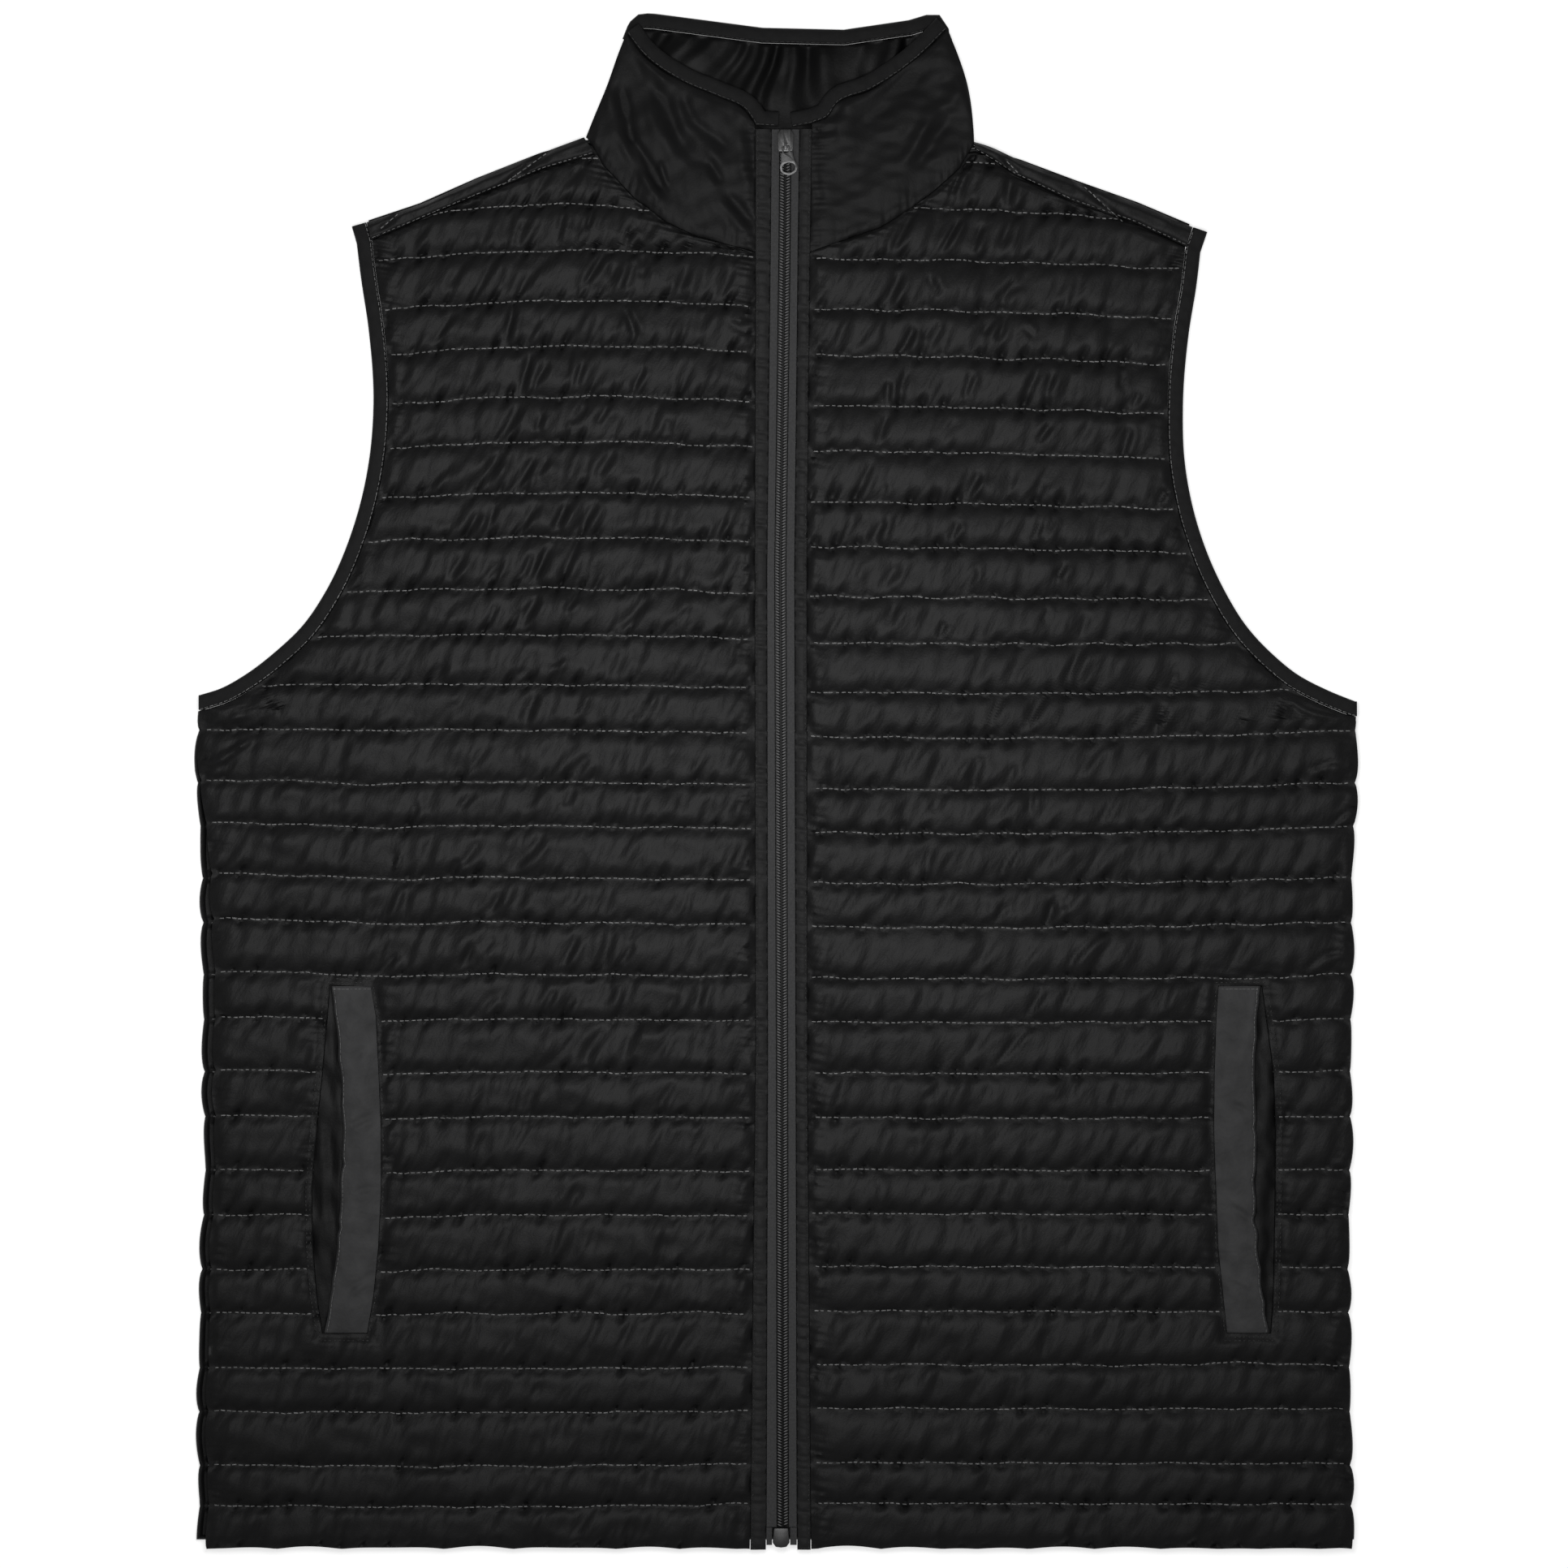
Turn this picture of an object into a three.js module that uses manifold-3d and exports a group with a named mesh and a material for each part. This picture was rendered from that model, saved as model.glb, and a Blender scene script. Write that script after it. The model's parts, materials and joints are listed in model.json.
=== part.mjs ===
// A quilted vest laid flat on its back, front up, its zip closed to the top of the collar.
// Millimetres. +X runs to the right as the vest lies, +Y towards its collar, +Z up off the
// surface that it lies on. The origin is under the middle of the vest, on that surface.
// Left and right are as seen from above.
//
// The back and the back collar lie on the surface with flat undersides. The fronts, the front
// collar, the bindings and the zip lie on them, a seam gap clear. Every cloth piece is a patch:
// rows of outer points over a flat inner face. A piece sewn to a front takes that front's own
// edge points, moved out.
import * as THREE from 'three';
import { mergeVertices } from 'three/addons/utils/BufferGeometryUtils.js';
import Module from 'manifold-3d';

const wasm = await Module();
wasm.setup();

// Driving dimensions
const SEAM_GAP = 0.3;
const BACK_THICKNESS = 4.0;
const FRONT_FLOOR = BACK_THICKNESS + SEAM_GAP;
const STITCHED_THICKNESS = 1.8;
const PUFF_HEIGHT = 4.6;
const EDGE_INSET = 4;
const BINDING_WIDTH = 8;
const BINDING_THICKNESS = 2.8;
const COLLAR_THICKNESS = 2.6;
const COLLAR_BACK_THICKNESS = 3.6;
const SHOULDER_THICKNESS = 4.2;
const SIDE_PUFF = 1.2;

// The quilting: stitched rows counted from the hem, in wide and narrow channels by turns.
const HEM_Y = -396;
const HEM_ROWS = [0, 21.8, 42.8];
const WIDE_CHANNEL = 26.9;
const NARROW_CHANNEL = 23.3;
const CHANNEL_PHASES = [0, 0.25, 0.72];
const CORNER_CLEARANCE = 1.6;
const SHOULDER_TIP_Y = 325.5;
// Where each front's columns of points stand, as shares of its width from the side seam.
const FRONT_SHARES = {
  left: [0.15, 0.185, 0.335, 0.37, 0.55, 0.78],
  right: [0.105, 0.13, 0.265, 0.3, 0.5, 0.75],
};
// Outwards along X on each side, and the turn to the body when a side's line is followed up:
// 1 is to the left of its own direction.
const OUT_X = { left: -1, right: 1 };
const INWARD = { left: -1, right: 1 };
const SIDE_NAMES = ['left', 'right'];
const ARMHOLE_STEPS = 60;
// Rows that start where a front's outline turns at the armhole's foot, above that corner.
const ARMHOLE_CORNER_ROWS = [0, 2.5, 6];
const TIP_CLEARANCE = 0.5;
// The side seams' puffs stop this far from the back's own corners.
const BACK_CORNER_CLEARANCE = 3;

// How the cloth's edges are shaped: places across a strip, and lifts as shares of its thickness.
const LAYER_EDGE = { floorInset: 0.8, floorRise: 1.0, topInset: 0.6, topRise: 0.8 };
const BAND_EDGE = { rise: 1.2, fall: 1.4 };
const BAND_LIFTS = [0.75, 1, 1, 0.9, 0.45];
const SHOULDER_PROFILE = [
  { share: 0, lift: 0.6 },
  { share: 0.2, lift: 0.95 },
  { share: 0.7, lift: 1 },
  { share: 1, lift: 0.35 },
];
const WELT_LIFTS = [0.6, 1, 1, 0.8, 0.5];
const PLACKET_LIFTS = [0.7, 1, 0.9, 0.5];
const TAPE_LIFTS = [0.8, 1, 0.8];
const FILM_LIFTS = [0.9, 1, 0.9];
const CHAIN_LIFTS = [0.55, 1, 0.8, 1, 0.55];
const COLLAR_ROW_SHARES = [0, 0.06, 0.22, 0.4, 0.58, 0.76, 0.94, 1];
const COLLAR_EDGE_LIFT = 0.6;
// What is left of the padding beside a pocket's stitching.
const POCKET_PRESSED = 0.3;

// The side seams' place at the vest's outline, from the hem to the armholes.
const SIDES = [
  { y: -396, left: -300.5, right: 299.5 },
  { y: -371, left: -299.0, right: 298.0 },
  { y: -313, left: -299.5, right: 297.5 },
  { y: -254, left: -298.0, right: 296.5 },
  { y: -195, left: -296.0, right: 297.5 },
  { y: -120, left: -297.0, right: 298.0 },
  { y: -44, left: -297.5, right: 298.5 },
  { y: 6, left: -300.5, right: 300.5 },
  { y: 46, left: -298.5, right: 300.5 },
];
const FRONT_INSET = { left: 5.5, right: 1.5 };

// The outer edge of each armhole's binding, from the side seam up to the shoulder tip.
const ARMHOLE = [
  { leftX: -299.5, leftY: 45.5, rightX: 301.0, rightY: 42.0 },
  { leftX: -287.0, leftY: 49.5, rightX: 285.0, rightY: 48.5 },
  { leftX: -277.0, leftY: 55.0, rightX: 269.0, rightY: 57.0 },
  { leftX: -259.0, leftY: 68.5, rightX: 258.5, rightY: 65.5 },
  { leftX: -245.0, leftY: 82.0, rightX: 243.0, rightY: 82.0 },
  { leftX: -233.5, leftY: 99.0, rightX: 232.5, rightY: 99.0 },
  { leftX: -219.0, leftY: 132.5, rightX: 218.5, rightY: 132.5 },
  { leftX: -211.0, leftY: 166.0, rightX: 211.5, rightY: 166.0 },
  { leftX: -208.5, leftY: 197.0, rightX: 210.5, rightY: 195.0 },
  { leftX: -211.0, leftY: 235.0, rightX: 213.5, rightY: 233.0 },
  { leftX: -215.0, leftY: 262.0, rightX: 217.5, rightY: 258.0 },
  { leftX: -218.0, leftY: 287.0, rightX: 220.5, rightY: 285.0 },
];

// The shoulders: the seam on the front, and the fold where the back comes forward over them.
const SHOULDER_SEAM = [
  { leftX: -209.5, leftY: 281.0, rightX: 212.0, rightY: 277.5 },
  { leftX: -169.5, leftY: 298.0, rightX: 185.0, rightY: 290.0 },
  { leftX: -142.0, leftY: 309.0, rightX: 153.0, rightY: 301.0 },
  { leftX: -121.0, leftY: 317.5, rightX: 124.0, rightY: 314.5 },
  { leftX: -94.0, leftY: 325.5, rightX: 105.0, rightY: 327.0 },
];
const SHOULDER_FOLD = [
  { leftX: -212.0, leftY: 290.5, rightX: 215.5, rightY: 288.0 },
  { leftX: -182.5, leftY: 300.5, rightX: 185.0, rightY: 301.0 },
  { leftX: -153.5, leftY: 313.5, rightX: 153.0, rightY: 312.5 },
  { leftX: -121.0, leftY: 326.5, rightX: 124.0, rightY: 323.5 },
  { leftX: -99.5, leftY: 334.5, rightX: 106.0, rightY: 329.5 },
];

// The neckline seam, from the zip up to the shoulder.
const NECKLINE = [
  { leftX: -10.6, leftY: 275.0, rightX: 17.3, rightY: 275.0 },
  { leftX: -41.0, leftY: 283.0, rightX: 53.5, rightY: 287.5 },
  { leftX: -57.0, leftY: 290.5, rightX: 68.0, rightY: 296.5 },
  { leftX: -73.0, leftY: 302.5, rightX: 81.0, rightY: 306.0 },
  { leftX: -89.5, leftY: 320.0, rightX: 95.0, rightY: 318.5 },
  { leftX: -94.0, leftY: 327.5, rightX: 104.0, rightY: 329.0 },
];

// The front collar's folds at the sides, and its upper edge under the binding.
const COLLAR_FOLD = [
  { leftX: -98.5, leftY: 334.5, rightX: 102.5, rightY: 330.5 },
  { leftX: -94.5, leftY: 344.5, rightX: 102.0, rightY: 340.0 },
  { leftX: -87.5, leftY: 361.5, rightX: 99.0, rightY: 361.5 },
  { leftX: -81.5, leftY: 378.5, rightX: 93.5, rightY: 378.5 },
  { leftX: -77.5, leftY: 388.5, rightX: 88.5, rightY: 390.5 },
];
const COLLAR_TOP = [
  { leftX: -77.5, leftY: 388.5, rightX: 88.5, rightY: 390.5 },
  { leftX: -69.5, leftY: 378.0, rightX: 73.0, rightY: 375.5 },
  { leftX: -49.0, leftY: 363.5, rightX: 48.5, rightY: 359.0 },
  { leftX: -16.5, leftY: 349.0, rightX: 28.0, rightY: 350.5 },
  { leftX: -10.6, leftY: 340.5, rightX: 18.3, rightY: 341.5 },
];
// Where the front collar's binding ends, over the zip's tapes.
const BINDING_END = [{ leftX: 0.8, leftY: 339.8, rightX: 8.6, rightY: 339.6 }];
// The main soft ridges of the front collar.
const COLLAR_CREASES = [
  { x: -74, y: 372, toX: -52, toY: 302, height: 1.8, width: 6 },
  { x: -56, y: 360, toX: -18, toY: 292, height: 1.4, width: 6 },
  { x: 82, y: 372, toX: 46, toY: 312, height: 1.6, width: 7 },
  { x: 50, y: 352, toX: 26, toY: 300, height: 1.2, width: 6 },
];
// The back collar's top edge, from one fold to the other, and the back neck seam.
const COLLAR_BACK_TOP = [
  { x: -76.5, y: 393.5 },
  { x: -71.5, y: 398.5 },
  { x: -63.0, y: 398.8 },
  { x: -49.0, y: 397.0 },
  { x: -7.0, y: 391.5 },
  { x: 35.0, y: 390.5 },
  { x: 69.0, y: 395.5 },
  { x: 83.0, y: 398.8 },
  { x: 88.5, y: 391.5 },
];
const BACK_NECK = [
  { x: -95.5, y: 333.0 },
  { x: -60.0, y: 324.0 },
  { x: 4.0, y: 319.5 },
  { x: 64.0, y: 323.0 },
  { x: 103.0, y: 329.0 },
];
const BACK_HEM_Y = -391.5;

// How far a stitched row hangs below its cut height, across each front at five heights.
const DRAPE = [
  { y: -396, leftSide: 0.0, leftMid: 0.0, leftZip: 0.0, rightZip: 0.0, rightMid: 0.0, rightSide: 0.0 },
  { y: -374, leftSide: -0.5, leftMid: 0.5, leftZip: -1.2, rightZip: -1.6, rightMid: -1.2, rightSide: -1.0 },
  { y: -221, leftSide: 1.0, leftMid: 0.0, leftZip: 0.5, rightZip: 0.0, rightMid: 0.5, rightSide: 2.5 },
  { y: -46, leftSide: 1.5, leftMid: 0.0, leftZip: 1.5, rightZip: 2.5, rightMid: 3.0, rightSide: 3.5 },
  { y: 129, leftSide: 2.5, leftMid: 0.0, leftZip: 2.5, rightZip: 4.5, rightMid: 5.5, rightSide: 8.0 },
  { y: 300, leftSide: 6.0, leftMid: 0.0, leftZip: 3.5, rightZip: 4.2, rightMid: 6.0, rightSide: 10.0 },
  { y: 326, leftSide: 0.0, leftMid: 0.0, leftZip: 0.0, rightZip: 0.0, rightMid: 0.0, rightSide: 0.0 },
];

// The zip's middle line, with the folded strips beside it from their topstitched edges in.
const ZIP = [
  { y: -396, left: -13.4, leftIn: -5.4, middle: 3.4, rightIn: 10.9, right: 17.8 },
  { y: -140, left: -10.6, leftIn: -4.6, middle: 3.0, rightIn: 10.3, right: 16.0 },
  { y: 111, left: -11.0, leftIn: -5.0, middle: 2.1, rightIn: 9.6, right: 15.6 },
  { y: 276, left: -10.6, leftIn: -3.2, middle: 4.3, rightIn: 11.4, right: 17.3 },
  { y: 342, left: -10.6, leftIn: -2.6, middle: 4.8, rightIn: 12.2, right: 18.3 },
];
const ZIP_STEP = 55;
const ZIP_BOTTOM_Y = -385;
const PLACKET_TOP_Y = 338.8;
const FILM_BOTTOM_Y = -394;
const RETAINER = { left: -1.9, right: 6.9, top: -385.1, bottom: -395.2, height: 4.2 };
const RETAINER_ROUNDING = { top: 0.7, side: 2.6, foot: 1.6, footRise: 0.4 };
const CHAIN_HALF = 2.8;
const CHAIN_FLOOR = 5.2;
const CHAIN_HEIGHT = 2.4;
const TAPE_THICKNESS = 1.0;
const PLACKET_THICKNESS = 2.6;

// The pockets' openings: the quilted outer edge, the welt's free edge and its sewn edge.
const POCKETS = [
  { y: -284.5, outerL: -235.0, freeL: -234.2, sewnL: -211.5, sewnR: 233.0, freeR: 255.2, outerR: 256.0 },
  { y: -265.0, outerL: -238.0, freeL: -231.3, sewnL: -208.2, sewnR: 231.0, freeR: 252.8, outerR: 257.3 },
  { y: -240.0, outerL: -240.0, freeL: -228.1, sewnL: -205.7, sewnR: 228.4, freeR: 250.0, outerR: 257.8 },
  { y: -210.0, outerL: -240.5, freeL: -226.2, sewnL: -204.3, sewnR: 227.3, freeR: 248.3, outerR: 258.3 },
  { y: -180.0, outerL: -238.0, freeL: -224.7, sewnL: -204.3, sewnR: 226.2, freeR: 249.0, outerR: 258.5 },
  { y: -150.0, outerL: -235.0, freeL: -226.3, sewnL: -205.5, sewnR: 226.5, freeR: 247.8, outerR: 257.5 },
  { y: -120.0, outerL: -232.3, freeL: -229.0, sewnL: -207.0, sewnR: 227.5, freeR: 249.8, outerR: 253.5 },
  { y: -104.5, outerL: -231.2, freeL: -230.4, sewnL: -209.5, sewnR: 228.5, freeR: 250.5, outerR: 251.4 },
];
const POCKET_LAYER_THICKNESS = 1.0;
const WELT_THICKNESS = 3.0;
const POCKET_PINCH = 8;

// Slider and pull tab
const SLIDER = { x: 4.8, top: 338.3, bottom: 327.0, postLength: 4.0 };
const SLIDER_OUTLINE = [
  { x: 3.3, y: 327.0 },
  { x: 3.9, y: 328.2 },
  { x: 4.2, y: 335.6 },
  { x: 2.6, y: 338.3 },
];
const SLIDER_PLATE = 0.6;
const SLIDER_TOP_Z = 8.8;
const SLIDER_POST = { half: 1.3, noseInset: 0.4 };
const SLIDER_NOSE = { half: 1.5, inset: 0.3, rise: 0.5 };
const SLIDER_FLANGE = { width: 0.6, bottomInset: 1.0, topInset: 2.6 };
// How far joined solids run into each other.
const WELD = 0.1;
const BRIDGE = { half: 0.65, bottom: 327.8, top: 331.2, foot: 0.6, clear: 1.6, thickness: 0.8 };
const HINGE = { x: SLIDER.x, y: 329.2, z: 9.6, radius: 0.45 };
const TAB_DROOP = THREE.MathUtils.degToRad(3);
const TAB_TURN = THREE.MathUtils.degToRad(9);
const TAB = { armIn: 1.25, armOut: 2.1, neckStart: 2.9, neckEnd: 7.6, neckHalf: 3.3, thickness: 0.9 };
const TAB_SHOULDER = { narrowing: 0.2, ringInset: 0.4, ringRise: 1.6, armOverlap: 0.4 };
const TAB_RING = { centre: 10.8, outerX: 4.6, outerY: 3.8, holeX: 3.5, holeY: 2.6 };
const TAB_RING_SIDES = 24;

const MATERIALS = {
  shell: { color: 0x141415, roughness: 0.48, metalness: 0 },
  lining: { color: 0x0f0f10, roughness: 0.6, metalness: 0 },
  binding: { color: 0x1b1b1c, roughness: 0.62, metalness: 0 },
  welt: { color: 0x2a2a2b, roughness: 0.7, metalness: 0 },
  tape: { color: 0x2c2c2d, roughness: 0.8, metalness: 0 },
  zip: { color: 0x1c1c1d, roughness: 0.45, metalness: 0.1 },
};

const vest = new THREE.Group();

// Tables

// Reads a column of a table between its rows, by the value of another column that rises.
function read(table, by, at, column) {
  const last = table.length - 1;
  const upper = THREE.MathUtils.clamp(table.findIndex((row) => row[by] >= at), 1, last);
  const above = at > table[last][by] ? last : upper;
  const low = table[above - 1];
  const high = table[above];
  const share = THREE.MathUtils.clamp((at - low[by]) / (high[by] - low[by]), 0, 1);
  return THREE.MathUtils.lerp(low[column], high[column], share);
}

// One side's points of a table with leftX, leftY, rightX and rightY columns.
function sidePoints(table, side) {
  return table.map((row) => new THREE.Vector3(row[side + 'X'], row[side + 'Y'], 0));
}

// Points at even spacing along a smooth curve through the given ones.
function smooth(points, count) {
  return new THREE.CatmullRomCurve3(points, false, 'centripetal').getSpacedPoints(count);
}

// A line of points moved sideways, to the left of its own direction when distance is positive.
function moved(points, distance) {
  return points.map((point, i) => {
    const before = points[Math.max(i - 1, 0)];
    const after = points[Math.min(i + 1, points.length - 1)];
    const along = after.clone().sub(before).setZ(0).normalize();
    return new THREE.Vector3(point.x - along.y * distance, point.y + along.x * distance, point.z);
  });
}

// The x or y of a line at a place on it, found between its points.
function lineAt(points, by, at, want) {
  const rising = points[0][by] < points[points.length - 1][by] ? points : [...points].reverse();
  return read(rising, by, at, want);
}

// Solids

function signedVolume(positions, triangles) {
  const [a, b, c] = [new THREE.Vector3(), new THREE.Vector3(), new THREE.Vector3()];
  let sum = 0;
  for (let i = 0; i < triangles.length; i += 3) {
    a.fromArray(positions, 3 * triangles[i]);
    b.fromArray(positions, 3 * triangles[i + 1]);
    c.fromArray(positions, 3 * triangles[i + 2]);
    sum += a.dot(b.cross(c));
  }
  return sum;
}

// A closed geometry with merged points whose faces look outwards.
function closedGeometry(positions, triangles) {
  const outwards = signedVolume(positions, triangles) > 0;
  const geometry = new THREE.BufferGeometry();
  geometry.setAttribute('position', new THREE.Float32BufferAttribute(positions, 3));
  geometry.setIndex(outwards ? triangles : [...triangles].reverse());
  return withoutStrayPoints(geometry);
}

// Merges shared points and drops those that no face uses.
function withoutStrayPoints(geometry) {
  return mergeVertices(geometry.toNonIndexed(), 1e-4);
}

// Closes a flat outline with faces that turn the way wanted.
function pushCap(triangles, outline, first, clockwise) {
  const faces = THREE.ShapeUtils.triangulateShape(outline, []);
  const areaOf = (face) => THREE.ShapeUtils.area(face.map((i) => outline[i]));
  const area = faces.reduce((sum, face) => sum + areaOf(face), 0);
  const isTurned = (area < 0) !== clockwise;
  for (const [i, j, k] of faces) {
    const [second, third] = isTurned ? [k, j] : [j, k];
    triangles.push(first + i, first + second, first + third);
  }
}

// A patch of cloth: a grid of outer points, closed by side walls and a flat inner face. The
// inner face spans each pair of rows from end to end, where the first and last are straight.
function patch(rows, floor, isLoose = false) {
  const across = rows[0].length;
  const down = rows.length;
  const points = rows.flat();
  const positions = points.flatMap((p) => [p.x, p.y, p.z]);
  const triangles = [];
  const first = points.length;
  points.forEach((p) => positions.push(p.x, p.y, floor));
  const at = (r, c) => r * across + c;
  const under = (r, c) => first + at(r, c);
  for (let r = 0; r < down - 1; r += 1) {
    for (let c = 0; c < across - 1; c += 1) {
      triangles.push(at(r, c), at(r, c + 1), at(r + 1, c + 1));
      triangles.push(at(r, c), at(r + 1, c + 1), at(r + 1, c));
      if (!isLoose) continue;
      triangles.push(under(r, c), under(r + 1, c + 1), under(r, c + 1));
      triangles.push(under(r, c), under(r + 1, c), under(r + 1, c + 1));
    }
  }
  const rim = [];
  for (let c = 0; c < across; c += 1) rim.push(at(0, c));
  for (let r = 1; r < down; r += 1) rim.push(at(r, across - 1));
  for (let c = across - 2; c >= 0; c -= 1) rim.push(at(down - 1, c));
  for (let r = down - 2; r > 0; r -= 1) rim.push(at(r, 0));
  rim.forEach((top, i) => {
    const next = rim[(i + 1) % rim.length];
    triangles.push(next, top, first + top);
    triangles.push(next, first + top, first + next);
  });
  if (!isLoose) triangles.push(...floorFaces(across, down, under));
  return closedGeometry(positions, triangles);
}

function floorFaces(across, down, under) {
  const triangles = [];
  const end = across - 1;
  const last = down - 1;
  for (let r = 1; r < last - 1; r += 1) {
    triangles.push(under(r, 0), under(r + 1, end), under(r, end));
    triangles.push(under(r, 0), under(r + 1, 0), under(r + 1, end));
  }
  for (let c = 0; c < end; c += 1) {
    triangles.push(under(1, 0), under(0, c + 1), under(0, c));
    triangles.push(under(last - 1, end), under(last, c), under(last, c + 1));
  }
  triangles.push(under(1, 0), under(1, end), under(0, end));
  triangles.push(under(last - 1, end), under(last - 1, 0), under(last, 0));
  return triangles;
}

// A flat layer of cloth with rounded edges: rings of its outline, drawn in at its two faces.
function layer(outline, floor, top) {
  const count = outline.length;
  const turn = THREE.ShapeUtils.isClockWise(outline) ? -1 : 1;
  const rings = [
    { inset: LAYER_EDGE.floorInset, z: floor },
    { inset: 0, z: floor + LAYER_EDGE.floorRise },
    { inset: 0, z: top - LAYER_EDGE.topRise },
    { inset: LAYER_EDGE.topInset, z: top },
  ];
  const positions = [];
  const triangles = [];
  for (const ring of rings) {
    outline.forEach((point, i) => {
      const before = outline[(i + count - 1) % count];
      const after = outline[(i + 1) % count];
      const way = new THREE.Vector2(after.x - before.x, after.y - before.y).normalize();
      const inset = turn * ring.inset;
      positions.push(point.x - way.y * inset, point.y + way.x * inset, ring.z);
    });
  }
  for (let r = 0; r < rings.length - 1; r += 1) {
    for (let i = 0; i < count; i += 1) {
      const next = (i + 1) % count;
      const [low, high] = [r * count, (r + 1) * count];
      triangles.push(low + i, low + next, high + next);
      triangles.push(low + i, high + next, high + i);
    }
  }
  const isClockwise = THREE.ShapeUtils.isClockWise(outline);
  pushCap(triangles, outline, 0, !isClockwise);
  pushCap(triangles, outline, (rings.length - 1) * count, isClockwise);
  return closedGeometry(positions, triangles);
}

// A bound or folded edge: a rounded strip that lies along a line, to one side of it.
function band(line, width, floor, thickness, side) {
  const outs = [SEAM_GAP, SEAM_GAP + BAND_EDGE.rise, width / 2, width - BAND_EDGE.fall, width];
  const columns = outs.map((out, c) => moved(line, side * out).map(
    (p) => new THREE.Vector3(p.x, p.y, floor + BAND_LIFTS[c] * thickness)));
  return patch(line.map((_, i) => columns.map((column) => column[i])), floor);
}

function solidOf(geometry) {
  const bare = geometry.clone();
  bare.deleteAttribute('normal');
  bare.deleteAttribute('uv');
  const merged = mergeVertices(bare, 1e-4);
  return new wasm.Manifold(new wasm.Mesh({
    numProp: 3,
    vertProperties: new Float32Array(merged.attributes.position.array),
    triVerts: new Uint32Array(merged.index.array),
  }));
}

function geometryOf(solid) {
  const { vertProperties, triVerts } = solid.getMesh();
  const geometry = new THREE.BufferGeometry();
  geometry.setAttribute('position', new THREE.Float32BufferAttribute(vertProperties, 3));
  geometry.setIndex(Array.from(triVerts));
  return geometry;
}

function extruded(points, floor, height) {
  const geometry = new THREE.ExtrudeGeometry(new THREE.Shape(points), {
    depth: height,
    bevelEnabled: false,
  });
  return geometry.translate(0, 0, floor);
}

function add(name, geometry, slot) {
  const flat = geometry.index ? geometry.toNonIndexed() : geometry;
  flat.computeVertexNormals();
  const mesh = new THREE.Mesh(flat, new THREE.MeshStandardMaterial(MATERIALS[slot]));
  mesh.name = name;
  vest.add(mesh);
  return mesh;
}

// Quilting

// Heights of the stitched rows above the hem.
function rowLevels() {
  const levels = [...HEM_ROWS];
  while (levels[levels.length - 1] < SHOULDER_TIP_Y - HEM_Y) {
    const wide = (levels.length - HEM_ROWS.length) % 2 === 0;
    levels.push(levels[levels.length - 1] + (wide ? WIDE_CHANNEL : NARROW_CHANNEL));
  }
  return levels;
}

// How full a channel is at a share of its width, from one stitched row to the next.
function fullness(phase) {
  return Math.sin(Math.PI * phase) ** 0.75;
}

function phaseAt(y) {
  const height = y - HEM_Y;
  const upper = Math.max(LEVELS.findIndex((level) => level > height), 1);
  return (height - LEVELS[upper - 1]) / (LEVELS[upper] - LEVELS[upper - 1]);
}

// How far a row hangs at a share of the way from the side seam to the zip.
function drop(side, y, share) {
  const atSide = read(DRAPE, 'y', y, side + 'Side');
  const atMid = read(DRAPE, 'y', y, side + 'Mid');
  const atZip = read(DRAPE, 'y', y, side + 'Zip');
  const toSide = (1 - share) * (1 - 2 * share);
  const toZip = share * (2 * share - 1);
  return atSide * toSide + atMid * 4 * share * (1 - share) + atZip * toZip;
}

// The level of an uncut row whose end hangs down to a corner of the panel.
function levelAbove(side, corner, share) {
  const once = corner + drop(side, corner, share);
  return corner + drop(side, once, share);
}

function rowHeights(side) {
  const corners = [
    ...ARMHOLE_CORNER_ROWS.map((rise) => levelAbove(side, ARMHOLE_SEAM[side][0].y + rise, 0)),
    levelAbove(side, SHOULDER_SEAM[0][side + 'Y'], 0),
    levelAbove(side, NECKLINE[0][side + 'Y'], 1),
    SHOULDER_TIP_Y - TIP_CLEARANCE,
  ];
  const regular = LEVELS.slice(0, -1).flatMap((low, i) => CHANNEL_PHASES.map(
    (phase) => HEM_Y + THREE.MathUtils.lerp(low, LEVELS[i + 1], phase)));
  const clear = (y) => corners.every((corner) => Math.abs(corner - y) > CORNER_CLEARANCE);
  return [...regular.filter(clear), ...corners].filter((y) => y < SHOULDER_TIP_Y).sort((a, b) => a - b);
}

// The x of a front's outer edge: side seam, armhole and shoulder seam in turn.
function outerEdgeX(side, y, phase) {
  const seam = ARMHOLE_SEAM[side];
  const isBelow = y < seam[0].y - 0.5;
  const puff = isBelow ? SIDE_PUFF * fullness(phase) : 0;
  const sideSeam = read(SIDES, 'y', y, side) + OUT_X[side] * (puff - FRONT_INSET[side]);
  if (isBelow) return sideSeam;
  if (y > SHOULDER_SEAM[0][side + 'Y']) return read(SHOULDER_SEAM, side + 'Y', y, side + 'X');
  const armhole = lineAt(seam, 'y', y, 'x');
  return side === 'left' ? Math.max(armhole, sideSeam) : Math.min(armhole, sideSeam);
}

// The x of a front's inner edge: beside the zip, then along the neckline.
function innerEdgeX(side, y) {
  if (y > NECKLINE[0][side + 'Y']) return read(NECKLINE, side + 'Y', y, side + 'X');
  return read(ZIP, 'y', y, side) + OUT_X[side] * SEAM_GAP;
}

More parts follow.
